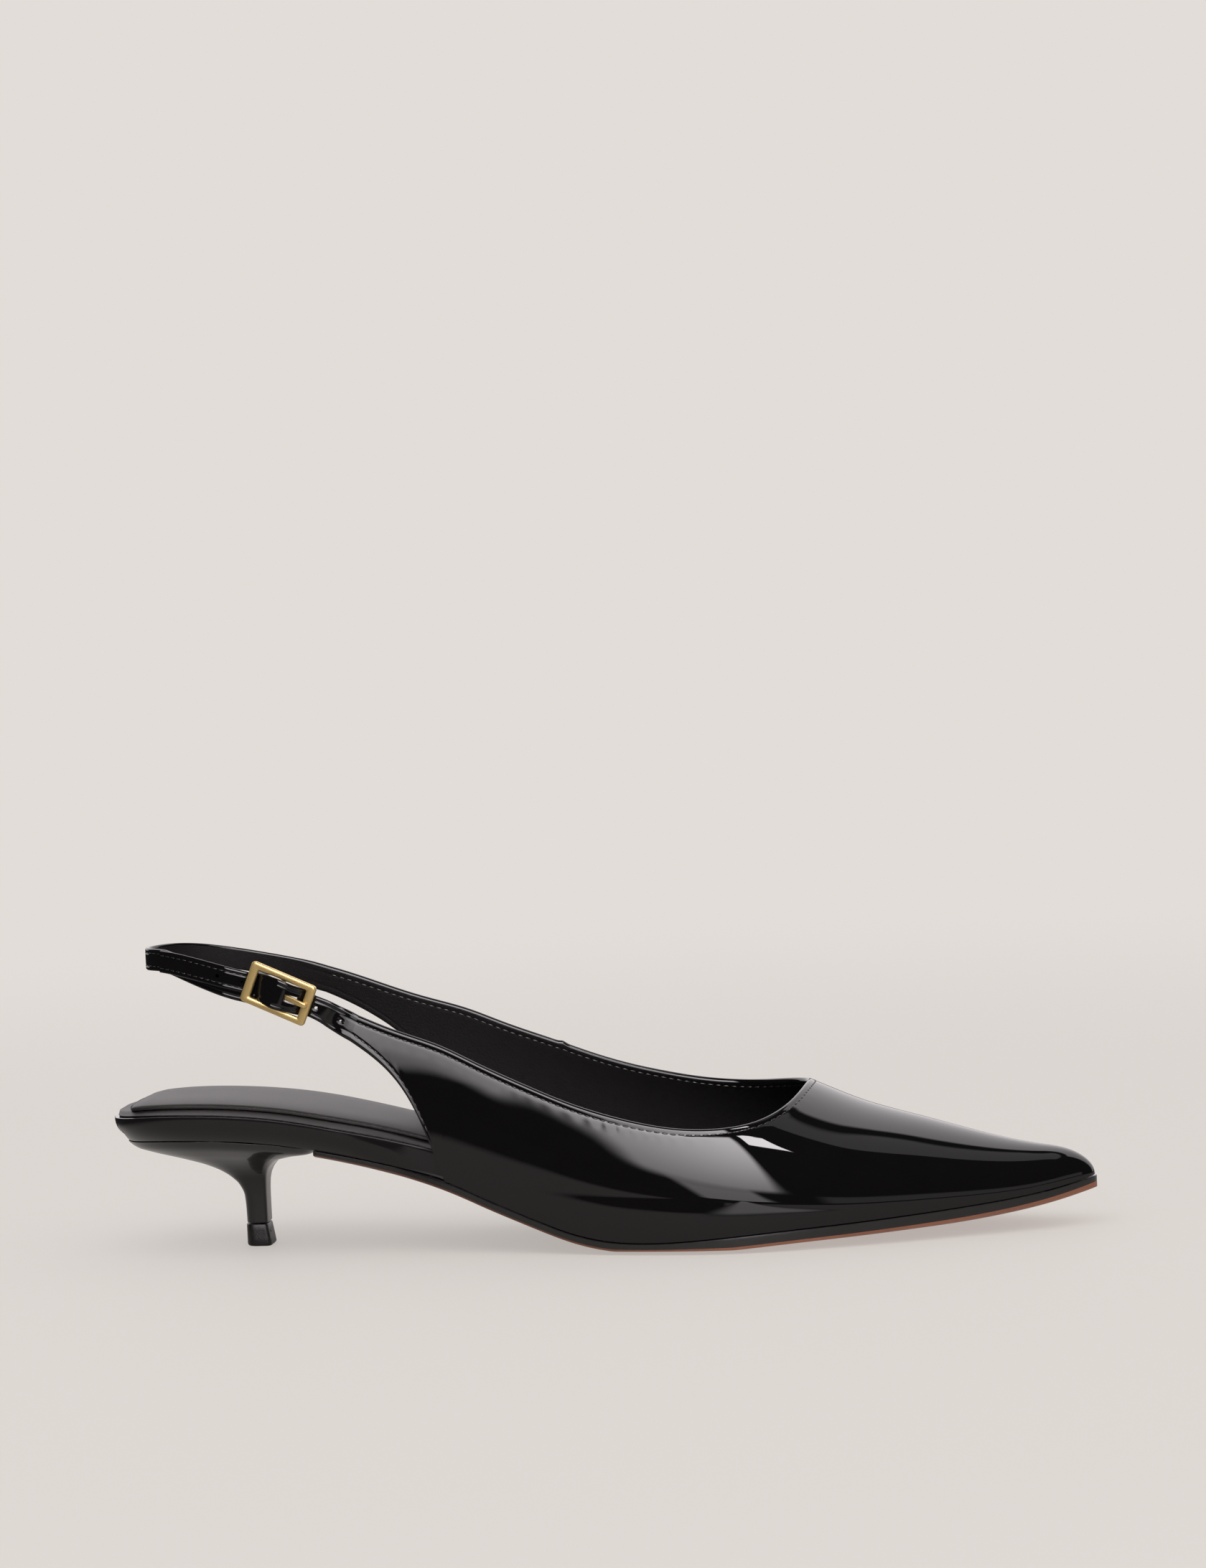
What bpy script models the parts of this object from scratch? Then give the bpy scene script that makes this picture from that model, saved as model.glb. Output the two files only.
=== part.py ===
"""Right slingback pump: pointed toe, low kitten heel, patent upper, buckled heel strap.

Metres, +Z up. The toe points to +X, the outer side of the foot is -Y, and the shoe stands on
its heel tip and the ball of its sole at z = 0, with the origin under the middle of its box.
"""
import math

import bmesh
import bpy
import numpy as np

# Driving sizes of the last
LENGTH = 0.2710          # back of the seat to the tip of the toe
BALL_WIDTH = 0.0765      # widest part of the upper's plan
SEAT_WIDTH = 0.0530      # across the covered seat
HEEL_RISE = 0.0293       # how far the seat stands above the ball of the foot
TOE_SPRING = 0.0098      # how far the toe stands above the ball of the foot
INSTEP_RISE = 0.0360     # vamp height above the seam at the throat
NOSE = 0.0140            # length of the rounded end of the toe

# Walls and layers
WALL = 0.0018            # patent leather and lining together
SOLE_THICKNESS = 0.0035
BALL_WEAR = 0.00035      # depth by which the ball is flattened where it stands
SOLE_MARGIN = 0.0005     # how far the sole stands out past the upper
SOLE_BEVEL = 0.0012      # lift of the sole's underside at its edge
SEAT_START = 0.0004      # where the seat's squared back lies
SEAT_MIDDLE = 0.007      # seat and heel stand this share of BALL_WIDTH to the inside
SEAT_ROUND = 0.56        # share of SEAT_WIDTH over which the seat rounds towards its back
SEAT_CORNER = 2.9        # the higher, the squarer the seat's back
SEAT_SWELL = 2.5
HELD_FROM = 0.235        # share of LENGTH where the quarters start to hold the board
HELD_OVER = 0.105
SEAT_THICKNESS = 0.0070  # covered board under the heel of the foot
BOARD_THICKNESS = 0.0024 # the same board under the toes
THIN_FROM = 0.36         # share of LENGTH where the board starts to thin
THIN_OVER = 0.24
BOARD_SHORT = 0.0135     # from the tip of the toe to the board, inside the upper
SOCK_SHORT = 0.0175
SEAT_TAPER = 0.0034      # how far the covered seat's side draws in towards the heel
TAPER_BACK = 0.55        # share of the taper at the seat's back
SOCK_THICKNESS = 0.0011
SOCK_SETBACK = 0.0017    # from the seat's lip to the sock
PAD_THICKNESS = 0.0017
PAD_SETBACK = 0.0040     # from the sock's edge to the pad
PAD_LENGTH = 0.1050
PAD_EDGE = 0.45          # share of the pad's thickness at its edge
PAD_ROUND = 0.25         # share of the pad's length over which its front rounds
PAD_END = 0.0060         # run over which the pad rises from either end
SOLE_SPREAD_FROM = 0.30  # share of LENGTH where the sole starts to spread past the waist
SOLE_SPREAD_OVER = 0.060
BEVEL_FROM = 0.72        # share of the half width where the underside starts to lift
BEVEL_MOST = 0.6         # share of SOLE_THICKNESS that the lift may take
GAP = 0.0003             # between pieces that touch

# Heel
HEEL_FRONT = 0.0590      # seat back to the top of the heel's breast
HEEL_BACK_INSET = 0.0012 # top of the heel inside the seat's lower edge, at the back
HEEL_SIDE_INSET = 0.0002 # and at the sides
STEM_BACK = 0.0350       # seat back to the back of the stem
STEM_LENGTH = 0.0063
STEM_WIDTH = 0.0080
TOP_PIECE_HEIGHT = 0.0062
TOP_PIECE_FLARE = 0.0009
TOP_PIECE_TUCK = 0.0004   # softened lower edge

# Straps and buckle
STRAP_WIDTH = 0.0062
STRAP_THICKNESS = 0.0013
SKIVED = 0.0007          # heel strap's thickness where it turns round the buckle's bar
STRAP_TAIL = 0.0375      # free end of the buckled strap past the buckle's middle
TURN_BACK = 0.0095       # heel strap's turned end
SLING_HANG = 0.0026      # heel strap hangs this much lower where it goes behind the buckle
SLING_REST = 0.0003      # and this much lower on the middle bar
SLING_TRIM = 0.0004      # and is this much narrower round the bar
TAIL_EASE = 0.0080       # run over which the straps come together behind the buckle
LONE_EASE = 0.0100       # run over which the heel strap takes the line past the tail
HOLE_PITCH = 0.0075
HOLE_RADIUS = 0.0008
BUCKLE_LENGTH = 0.0198
BUCKLE_TURN = math.radians(4)  # its toe side hangs lower than the strap's own line
END_BAR = 0.0025
RAIL = 0.0019
BAR_DEPTH = 0.0016
BUCKLE_PLAY = 0.0009     # room between strap and rail
MIDDLE_BAR_RADIUS = 0.00075
MIDDLE_BAR_DROP = 0.0008 # below the frame's own plane
PRONG_WIDTH = 0.0019
PRONG_DEPTH = 0.0009
PRONG_TAPER = 0.25        # share of its width that the prong loses towards its tip
SLOT_BACK = 0.0009       # from the middle bar's centre to the prong's slot
SLOT_FRONT = 0.0015      # from the slot to the front bar
CUT_DEPTH = 0.0120       # cutters reach well through the straps
HOOK_START = math.radians(-150)  # open end of the prong's hook, from behind the bar

# The seam between upper and sole: along is a share of LENGTH, heel of HEEL_RISE, toe of TOE_SPRING
SEAM = (
    # along, heel, toe
    (0.000, 0.947, 0.000),
    (0.044, 0.991, 0.000),
    (0.088, 1.000, 0.000),
    (0.140, 0.978, 0.000),
    (0.192, 0.923, 0.000),
    (0.228, 0.862, 0.000),
    (0.273, 0.773, 0.000),
    (0.317, 0.674, 0.000),
    (0.354, 0.572, 0.000),
    (0.390, 0.428, 0.000),
    (0.442, 0.230, 0.000),
    (0.486, 0.084, 0.000),
    (0.523, 0.016, 0.000),
    (0.560, 0.000, 0.000),
    (0.597, 0.000, 0.035),
    (0.633, 0.000, 0.107),
    (0.678, 0.000, 0.200),
    (0.759, 0.000, 0.320),
    (0.829, 0.000, 0.425),
    (0.895, 0.000, 0.556),
    (0.961, 0.000, 0.780),
    (1.000, 0.000, 1.000),
)

# Thickness of the sole along its length, as shares of SOLE_THICKNESS
SOLE_BODY = (
    # along, thickness
    (0.000, 0.720),
    (0.220, 0.720),
    (0.360, 0.980),
    (0.520, 1.000),
    (0.580, 1.080),
    (0.660, 1.300),
    (0.850, 1.300),
    (1.000, 0.950),
)

# Sections of the last: outer and inner reach and ridge shift are shares of BALL_WIDTH, height is
# a share of INSTEP_RISE, and fullness squares the section's shoulders
SECTIONS = (
    # along, outer, inner, height, fullness, shift
    (0.155, 0.294, 0.320, 1.889, 0.12, 0.026),
    (0.228, 0.314, 0.327, 1.944, 0.12, 0.026),
    (0.302, 0.327, 0.327, 1.944, 0.12, 0.026),
    (0.354, 0.340, 0.329, 1.931, 0.12, 0.026),
    (0.413, 0.369, 0.342, 1.889, 0.12, 0.026),
    (0.486, 0.424, 0.379, 1.792, 0.12, 0.026),
    (0.560, 0.476, 0.437, 1.583, 0.11, 0.026),
    (0.619, 0.497, 0.481, 1.347, 0.10, 0.026),
    (0.670, 0.486, 0.497, 1.144, 0.09, 0.026),
    (0.710, 0.452, 0.489, 1.000, 0.08, 0.026),
    (0.764, 0.390, 0.447, 0.803, 0.07, 0.020),
    (0.821, 0.308, 0.376, 0.650, 0.06, 0.013),
    (0.880, 0.214, 0.295, 0.491, 0.05, 0.008),
    (0.939, 0.115, 0.209, 0.339, 0.04, 0.004),
    (0.972, 0.055, 0.159, 0.262, 0.04, 0.001),
    (1.000, 0.007, 0.124, 0.192, 0.04, 0.000),
)

# Ribs of the upper from its topline to its lower edge: along is a share of LENGTH and turn a
# share of the half turn over the last, from 0 at the outer seam to 1 at the inner seam
RIBS = (
    # top along, top turn, foot along, foot turn
    (0.272, 0.193, 0.262, 0.153),
    (0.298, 0.186, 0.292, 0.131),
    (0.334, 0.181, 0.328, 0.076),
    (0.360, 0.180, 0.354, 0.000),
    (0.445, 0.182, 0.445, 0.000),
    (0.525, 0.190, 0.535, 0.000),
    (0.590, 0.198, 0.620, 0.000),
    (0.638, 0.221, 0.700, 0.000),
    (0.674, 0.261, 0.780, 0.000),
    (0.699, 0.330, 0.880, 0.000),
    (0.710, 0.410, 1.000, 0.000),
    (0.713, 0.500, 1.000, 0.500),
    (0.7085, 0.580, 1.000, 1.000),
    (0.690, 0.645, 0.880, 1.000),
    (0.650, 0.713, 0.770, 1.000),
    (0.597, 0.752, 0.680, 1.000),
    (0.546, 0.765, 0.600, 1.000),
    (0.495, 0.772, 0.520, 1.000),
    (0.439, 0.781, 0.445, 1.000),
    (0.376, 0.791, 0.354, 1.000),
    (0.330, 0.794, 0.328, 0.925),
    (0.290, 0.791, 0.292, 0.870),
    (0.250, 0.782, 0.245, 0.835),
    (0.215, 0.772, 0.207, 0.816),
)

# Heel strap's line between the two quarters: along is a share of LENGTH, side of BALL_WIDTH and
# rise, above the seam below it, of INSTEP_RISE
LOOP = (
    # along, side, rise
    (0.192, -0.276, 1.180),
    (0.157, -0.252, 1.222),
    (0.110, -0.212, 1.292),
    (0.066, -0.146, 1.355),
    (0.0415, -0.040, 1.365),
    (0.0415, 0.052, 1.360),
    (0.064, 0.160, 1.345),
    (0.110, 0.236, 1.292),
    (0.160, 0.272, 1.232),
)
BUCKLE_ROW = 0           # row of LOOP where the buckle's middle lies

# Heel levels from the tip to the seat: level is a share of the seat's height, and the others
# are shares of the way from the stem to the seat's edge
HEEL_LEVELS = (
    # level, back, front, side
    (0.20, 0.000, 0.000, 0.000),
    (0.32, 0.003, 0.000, 0.000),
    (0.44, 0.012, 0.000, 0.004),
    (0.54, 0.055, 0.006, 0.022),
    (0.61, 0.125, 0.020, 0.065),
    (0.67, 0.215, 0.055, 0.150),
    (0.73, 0.350, 0.130, 0.280),
    (0.79, 0.540, 0.260, 0.450),
    (0.86, 0.770, 0.560, 0.680),
    (0.93, 0.930, 0.900, 0.880),
    (1.00, 1.000, 1.000, 1.000),
)

UPPER_COLUMNS = 76
UPPER_ROWS = 11
STRAP_STEP = 0.0020
FOLLOW_FROM = 0.45       # heel level above which it takes the seat's slope


def clear_scene():
    for item in list(bpy.data.objects):
        bpy.data.objects.remove(item, do_unlink=True)


def smooth_curve(places, values):
    """A natural cubic spline through the rows of a table."""
    places = np.asarray(places, float)
    values = np.asarray(values, float)
    count = len(places)
    steps = np.diff(places)
    matrix = np.eye(count)
    right = np.zeros(count)
    slopes = np.diff(values) / steps
    for row in range(1, count - 1):
        matrix[row, row - 1:row + 2] = steps[row - 1], 2 * (steps[row - 1] + steps[row]), steps[row]
        right[row] = 6 * (slopes[row] - slopes[row - 1])
    bend = np.linalg.solve(matrix, right)

    def value(at):
        at = np.asarray(at, float)
        left = np.clip(np.searchsorted(places, at) - 1, 0, count - 2)
        before = at - places[left]
        after = places[left + 1] - at
        step = steps[left]
        cubic = (bend[left] * after ** 3 + bend[left + 1] * before ** 3) / (6 * step)
        first = (values[left] / step - bend[left] * step / 6) * after
        second = (values[left + 1] / step - bend[left + 1] * step / 6) * before
        return cubic + first + second

    return value


def steady_curve(places, values):
    """A curve through the rows of a table that never swings past them."""
    places = np.asarray(places, float)
    values = np.asarray(values, float)
    steps = np.diff(places)
    slopes = np.diff(values) / steps
    lean = np.zeros(len(places))
    lean[0], lean[-1] = slopes[0], slopes[-1]
    for row in range(1, len(places) - 1):
        if slopes[row - 1] * slopes[row] > 0:
            w1 = 2 * steps[row] + steps[row - 1]
            w2 = steps[row] + 2 * steps[row - 1]
            lean[row] = (w1 + w2) / (w1 / slopes[row - 1] + w2 / slopes[row])

    def value(at):
        at = np.clip(np.asarray(at, float), places[0], places[-1])
        left = np.clip(np.searchsorted(places, at) - 1, 0, len(places) - 2)
        step = steps[left]
        t = (at - places[left]) / step
        start = values[left] * (1 + 2 * t) * (1 - t) ** 2 + lean[left] * step * t * (1 - t) ** 2
        end = values[left + 1] * t * t * (3 - 2 * t) + lean[left + 1] * step * t * t * (t - 1)
        return start + end

    return value


def smooth_step(value):
    value = np.clip(value, 0.0, 1.0)
    return value * value * (3 - 2 * value)


def column(table, index):
    return [row[index] for row in table]


heel_part = smooth_curve(column(SEAM, 0), column(SEAM, 1))
toe_part = smooth_curve(column(SEAM, 0), column(SEAM, 2))
sole_body = steady_curve(column(SOLE_BODY, 0), column(SOLE_BODY, 1))
outer_part, inner_part, height_part, fullness_part, shift_part = [
    smooth_curve(column(SECTIONS, 0), column(SECTIONS, index)) for index in range(1, 6)
]


def seam_height(x):
    """Height of the seam between upper and sole; x runs from the back of the seat."""
    share = np.asarray(x, float) / LENGTH
    rise = HEEL_RISE * heel_part(share) + TOE_SPRING * toe_part(share)
    return rise + SOLE_THICKNESS - BALL_WEAR


def tread_height(x):
    """Underside of the sole, flat on the floor under the ball."""
    share = np.asarray(x, float) / LENGTH
    return np.maximum(0.0, seam_height(x) - SOLE_THICKNESS * sole_body(share))


def reach_of(x):
    """Where a length x lies on the last's own scale, which opens out round the nose."""
    start = LENGTH - NOSE
    past = np.clip((np.asarray(x, float) - start) / NOSE, 0.0, 1.0)
    return np.where(past > 0, start + 2 * NOSE * (1 - np.sqrt(1 - past)), x)


def last_point(reach, turn):
    """A point of the last's surface: reach runs from heel to toe, turn from 0 to 1 over the foot."""
    start = LENGTH - NOSE
    half = np.clip((np.asarray(reach, float) - start) / (2 * NOSE), 0.0, 1.0)
    past = 2 * half - half * half
    x = np.where(half > 0, start + NOSE * past, reach)
    cap = np.sqrt(np.maximum(0.0, 1 - past ** 3))
    share = x / LENGTH
    angle = math.pi * np.asarray(turn, float)
    spread = BALL_WIDTH * (inner_part(share) + outer_part(share)) / 2 * cap
    middle = BALL_WIDTH * (inner_part(share) - outer_part(share)) / 2
    across = np.cos(angle) + fullness_part(share) * np.sin(2 * angle)
    shift = BALL_WIDTH * shift_part(share) * cap * np.sin(angle) ** 2
    z = seam_height(x) + INSTEP_RISE * height_part(share) * cap * np.sin(angle)
    return np.stack(np.broadcast_arrays(x, middle - spread * across + shift, z), -1)


def last_normal(reach, turn):
    """The outward normal of the last's surface."""
    step, swing = LENGTH * 1e-4, 1e-4
    reach = np.minimum(np.asarray(reach, float), LENGTH + NOSE - 2 * step)
    along = last_point(reach + step, turn) - last_point(reach - step, turn)
    over = last_point(reach, turn + swing) - last_point(reach, turn - swing)
    normal = np.cross(along, over)
    return normal / np.linalg.norm(normal, axis=-1, keepdims=True)


def feather_line(reach, side, grow=0.0):
    """Plan of the seam on one side, -1 outer or 1 inner, moved outwards by grow."""
    turn = 0.0 if side < 0 else 1.0
    step = LENGTH * 1e-4
    point = last_point(reach, turn)[..., :2]
    near = np.minimum(reach, LENGTH + NOSE - 2 * step)
    along = last_point(near + step, turn)[..., :2] - last_point(near - step, turn)[..., :2]
    out = np.stack([-along[..., 1], along[..., 0]], -1) * side
    return point + out / np.linalg.norm(out, axis=-1, keepdims=True) * grow


def rib_curves():
    """Top and foot of each rib as curves of one run, measured along the topline."""
    tops = np.array([last_point(reach_of(row[0] * LENGTH), row[1]) for row in RIBS])
    run = np.concatenate([[0.0], np.cumsum(np.linalg.norm(np.diff(tops, axis=0), axis=1))])
    run /= run[-1]
    top_along = smooth_curve(run, column(RIBS, 0))
    top_turn = smooth_curve(run, column(RIBS, 1))
    foot_turns = column(RIBS, 3)
    first = foot_turns.index(min(foot_turns))
    last = len(RIBS) - 1 - foot_turns[::-1].index(max(foot_turns))
    pieces = []
    for start, end, kind in ((0, first, smooth_curve), (first, last, steady_curve),
                             (last, len(RIBS) - 1, smooth_curve)):
        rows = slice(start, end + 1)
        foot_reach = [float(reach_of(value * LENGTH)) for value in column(RIBS, 2)[rows]]
        pieces.append((run[start], run[end], kind(run[rows], foot_reach),
                       kind(run[rows], foot_turns[rows])))

    def rib(at):
        top = np.array([float(reach_of(top_along(at) * LENGTH)), float(top_turn(at))])
        for start, end, reach, turn in pieces:
            if start - 1e-9 <= at <= end + 1e-9:
                return top, np.array([float(reach(at)), float(turn(at))])
        return top, top

    return rib, run[first], run[last]


def run_stops(count):
    """Places of the ribs, closer round the toe, with one on each lower corner."""
    _, first, last = rib_curves()
    rear = max(4, count // 10)
    front = count - 2 * rear
    share = np.linspace(-1, 1, front + 1)
    bent = 0.80 * share + 0.20 * share ** 3
    middle = (first + last) / 2 + (last - first) / 2 * bent
    before = np.linspace(0, first, rear + 1)[:-1]
    after = np.linspace(last, 1, rear + 1)[1:]
    return np.concatenate([before, middle, after])


def make_material(name, colour, roughness, metallic=0.0, coat=0.0):
    material = bpy.data.materials.new(name)
    material.use_nodes = True
    shader = material.node_tree.nodes["Principled BSDF"]
    shader.inputs["Base Color"].default_value = (*colour, 1.0)
    shader.inputs["Roughness"].default_value = roughness
    shader.inputs["Metallic"].default_value = metallic
    shader.inputs["Coat Weight"].default_value = coat
    material.diffuse_color = (*colour, 1.0)
    return material


def make_object(name, points, faces, material, sharp=35.0):
    """One closed mesh, set with the middle of the shoe's box over the origin."""
    mesh = bpy.data.meshes.new(name)
    shift = np.array([(LENGTH + SOLE_MARGIN + SEAT_START) / 2, 0.0, 0.0])
    mesh.from_pydata([tuple(point - shift) for point in points], [], faces)
    work = bmesh.new()
    work.from_mesh(mesh)
    bmesh.ops.remove_doubles(work, verts=work.verts, dist=2e-6)
    bmesh.ops.recalc_face_normals(work, faces=work.faces)
    work.to_mesh(mesh)
    work.free()
    mesh.shade_smooth()
    mesh.set_sharp_from_angle(angle=math.radians(sharp))
    item = bpy.data.objects.new(name, mesh)
    item.data.materials.append(material)
    bpy.context.scene.collection.objects.link(item)
    return item


def cut_with(item, cutter, operation="DIFFERENCE"):
    cutter.hide_render = True
    cutter.display_type = "WIRE"
    modifier = item.modifiers.new(cutter.name, "BOOLEAN")
    modifier.operation = operation
    modifier.object = cutter
    modifier.solver = "EXACT"


def grid_faces(columns, rows, start=0, flip=False):
    faces = []
    for i in range(columns - 1):
        for j in range(rows - 1):
            a = start + i * rows + j
            face = (a, a + 1, a + rows + 1, a + rows)
            faces.append(face[::-1] if flip else face)
    return faces


def make_upper(material):
    """Vamp and quarters: one wall between the last and its inner offset, open above and below."""
    rib, _, _ = rib_curves()
    stops = run_stops(UPPER_COLUMNS)
    outside, inside = [], []
    for at in stops:
        top, foot = rib(at)
        for share in np.linspace(0, 1, UPPER_ROWS):
            reach, turn = top + (foot - top) * share
            point = last_point(reach, turn)
            depth = last_normal(reach, turn) * WALL
            if share == 1 and (turn <= 0 or turn >= 1):
                depth[2] = 0.0
            point[2] += GAP / 2
            outside.append(point)
            inside.append(point - depth)
    columns = len(stops)
    size = columns * UPPER_ROWS
    faces = grid_faces(columns, UPPER_ROWS) + grid_faces(columns, UPPER_ROWS, size, True)
    for i in range(columns - 1):
        for j in (0, UPPER_ROWS - 1):
            a = i * UPPER_ROWS + j
            face = (a, a + UPPER_ROWS, size + a + UPPER_ROWS, size + a)
            faces.append(face if j == 0 else face[::-1])
    for j in range(UPPER_ROWS - 1):
        for i in (0, columns - 1):
            a = i * UPPER_ROWS + j
            face = (a + 1, a, size + a, size + a + 1)
            faces.append(face if i == 0 else face[::-1])
    return make_object("upper", outside + inside, faces, material)


def make_slab(name, top_sides, bottom_sides, top_height, bottom_height, material, across=6):
    """A closed layer between two plans, each an outer and an inner side from heel to toe."""
    shares = np.linspace(0, 1, across + 1)
    points = []
    for sides, height in ((top_sides, top_height), (bottom_sides, bottom_height)):
        outer, inner = sides
        for left, right in zip(outer, inner):
            for share in shares:
                x, y = left + (right - left) * share
                points.append(np.array([x, y, height(x, 2 * share - 1)]))
    stations, rows = len(top_sides[0]), across + 1
    size = stations * rows
    faces = grid_faces(stations, rows) + grid_faces(stations, rows, size, True)
    for i in range(stations - 1):
        for j in (0, across):
            a = i * rows + j
            faces.append((a, a + rows, size + a + rows, size + a))
    for j in range(across):
        for i in (0, stations - 1):
            a = i * rows + j
            faces.append((a, a + 1, size + a + 1, size + a))
    return make_object(name, points, faces, material)


def seat_plan(x, draw=0.0):
    """Outer and inner side of the covered seat at x, drawn in by draw."""
    back = np.clip(1 - (x - draw) / (SEAT_ROUND * SEAT_WIDTH), 0.0, 1.0)
    half = (SEAT_WIDTH / 2 - draw) * (1 - back ** SEAT_CORNER) ** (1 / SEAT_SWELL)
    middle = BALL_WIDTH * SEAT_MIDDLE
    return middle - half, middle + half


def board_sides(stations, inset, draw=0.0):
    """Sides of the insole board: the open seat, then inside the upper's wall."""
    outer, inner = [], []
    enter = smooth_step((stations / LENGTH - HELD_FROM) / HELD_OVER)
    for reach, share in zip(stations, enter):
        seat = seat_plan(reach, draw)
        for side, sides, seat_side in ((-1, outer, seat[0]), (1, inner, seat[1])):
            held = feather_line(max(reach, SECTIONS[0][0] * LENGTH), side, -inset)
            open_point = np.array([reach, seat_side])
            sides.append(open_point + (held - open_point) * share)
    return outer, inner


def board_top(x, _across=0.0):
    """Top of the insole board, thick under the heel and thin under the toes."""
    thin = smooth_step((np.asarray(x, float) / LENGTH - THIN_FROM) / THIN_OVER)
    thickness = SEAT_THICKNESS + (BOARD_THICKNESS - SEAT_THICKNESS) * thin
    return seam_height(x) + GAP / 2 + thickness


def seat_stations(first, last, count):
    """Stations from the back of the seat, closer where its plan turns."""
    return first + (last - first) * np.linspace(0, 1, count) ** 1.5


def make_board(material):
    """Covered insole board: the thick rand that shows round the seat runs on inside the upper."""
    held = WALL + 2 * GAP
    end = LENGTH - BOARD_SHORT
    stations = np.concatenate([seat_stations(SEAT_START, 0.3 * LENGTH, 16)[:-1],
                               np.linspace(0.3 * LENGTH, end, 17)])
    top = board_sides(stations, held)
    low = board_sides(np.maximum(stations, SEAT_TAPER * TAPER_BACK + SEAT_START), held, SEAT_TAPER)
    low = tuple([np.array(point) for point in side] for side in low)
    return make_slab("insole_board", top, low, board_top,
                     lambda x, across: seam_height(x) + GAP / 2, material, across=4)


def make_sock(material):
    """Leather sock on the board, set back from the seat's lip."""
    held = WALL + 3 * GAP
    end = LENGTH - SOCK_SHORT
    stations = np.concatenate([seat_stations(SOCK_SETBACK + SEAT_START, 0.3 * LENGTH, 14)[:-1],
                               np.linspace(0.3 * LENGTH, end, 14)])
    sides = board_sides(stations, held, SOCK_SETBACK)
    return make_slab("insole_sock", sides, sides,
                     lambda x, across: board_top(x) + GAP + SOCK_THICKNESS,
                     lambda x, across: board_top(x) + GAP, material, across=4)


def make_pad(material):
    """Raised heel pad with round ends, domed over the sock."""
    back = SOCK_SETBACK + PAD_SETBACK
    stations = back + PAD_LENGTH * (0.5 - 0.5 * np.cos(np.linspace(0.02, math.pi - 0.02, 27)))
    outer, inner = board_sides(stations, WALL + 3 * GAP + PAD_SETBACK, back)
    front = back + PAD_LENGTH
    for left, right, x in zip(outer, inner, stations):
        middle = (left + right) / 2
        near_front = np.clip(1 - (front - x) / (PAD_ROUND * PAD_LENGTH), 0.0, 1.0)
        keep = (1 - near_front ** 2.4) ** (1 / 2.4)
        left[:] = middle + (left - middle) * keep
        right[:] = middle + (right - middle) * keep
    base = GAP * 2 + SOCK_THICKNESS

    def crown(x, across):
        ends = min(1.0, (x - back) / PAD_END + 0.2, (front - x) / PAD_END + 0.2)
        edge = 1 - abs(across) ** 5
        return board_top(x) + base + PAD_THICKNESS * (PAD_EDGE + (1 - PAD_EDGE) * edge * ends)

    return make_slab("heel_pad", (outer, inner), (outer, inner), crown,
                     lambda x, across: board_top(x) + base, material, across=6)


def make_outsole(material):
    """Outsole from the heel's breast to the toe, flat under the ball and bevelled at its edge."""
    first = HEEL_FRONT + GAP
    tip = LENGTH + NOSE
    reaches = np.concatenate([np.linspace(first, 0.354 * LENGTH, 9)[:-1],
                              np.linspace(0.354 * LENGTH, 0.93 * LENGTH, 20)[:-1],
                              np.linspace(0.93 * LENGTH, tip, 9)])
    outer, inner = [], []
    for reach in reaches:
        enter = smooth_step((reach / LENGTH - SOLE_SPREAD_FROM) / SOLE_SPREAD_OVER)
        seat = seat_plan(reach, SEAT_TAPER)
        waist = board_sides(np.array([reach]), WALL + GAP, SEAT_TAPER)
        for side, sides, seat_side in ((-1, outer, 0), (1, inner, 1)):
            under = waist[seat_side][0] if reach < 0.4 * LENGTH else np.array([reach, seat[seat_side]])
            sides.append(under + (feather_line(reach, side, SOLE_MARGIN) - under) * enter)

    def underside(x, across):
        lift = SOLE_BEVEL * max(0.0, (abs(across) - BEVEL_FROM) / (1 - BEVEL_FROM)) ** 2
        return tread_height(x) + min(lift, BEVEL_MOST * SOLE_THICKNESS)

    return make_slab("outsole", (outer, inner), (outer, inner),
                     lambda x, across: seam_height(x) - GAP / 2, underside, material, across=10)


def heel_outline(back, front, half, points=12):
    """Half a level of the heel from its back to its breast: round behind, square in front."""
    middle = (back + front) / 2
    outline = []
    for step in range(points + 1):
        angle = math.pi * step / points
        across, along = math.sin(angle), -math.cos(angle)
        power = 2 / 2.5 if along < 0 else 2 / 7.0
        reach = middle - back if along < 0 else front - middle
        outline.append((middle + reach * math.copysign(abs(along) ** power, along),
                        half * across ** power))
    return outline


def make_lofted_levels(name, levels, material):
    """Close a stack of half outlines, mirrored about the heel's own centre line."""
    centre = BALL_WIDTH * SEAT_MIDDLE
    points, faces = [], []
    for outline in levels:
        for x, y, z in outline:
            points.append(np.array([x, centre - y, z]))
        for x, y, z in outline[-2:0:-1]:
            points.append(np.array([x, centre + y, z]))
    half = len(levels[0])
    ring = 2 * half - 2
    for level in range(len(levels) - 1):
        for i in range(ring):
            a, b = level * ring + i, level * ring + (i + 1) % ring
            faces.append((a, b, b + ring, a + ring))
    for level, flip in ((0, True), (len(levels) - 1, False)):
        base = level * ring
        for i in range(half - 1):
            across = [base + i, base + i + 1, base + (ring - i - 1) % ring, base + (ring - i) % ring]
            face = [value for k, value in enumerate(across) if value not in across[:k]]
            faces.append(tuple(face[::-1] if flip else face))
    return make_object(name, points, faces, material)


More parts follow.
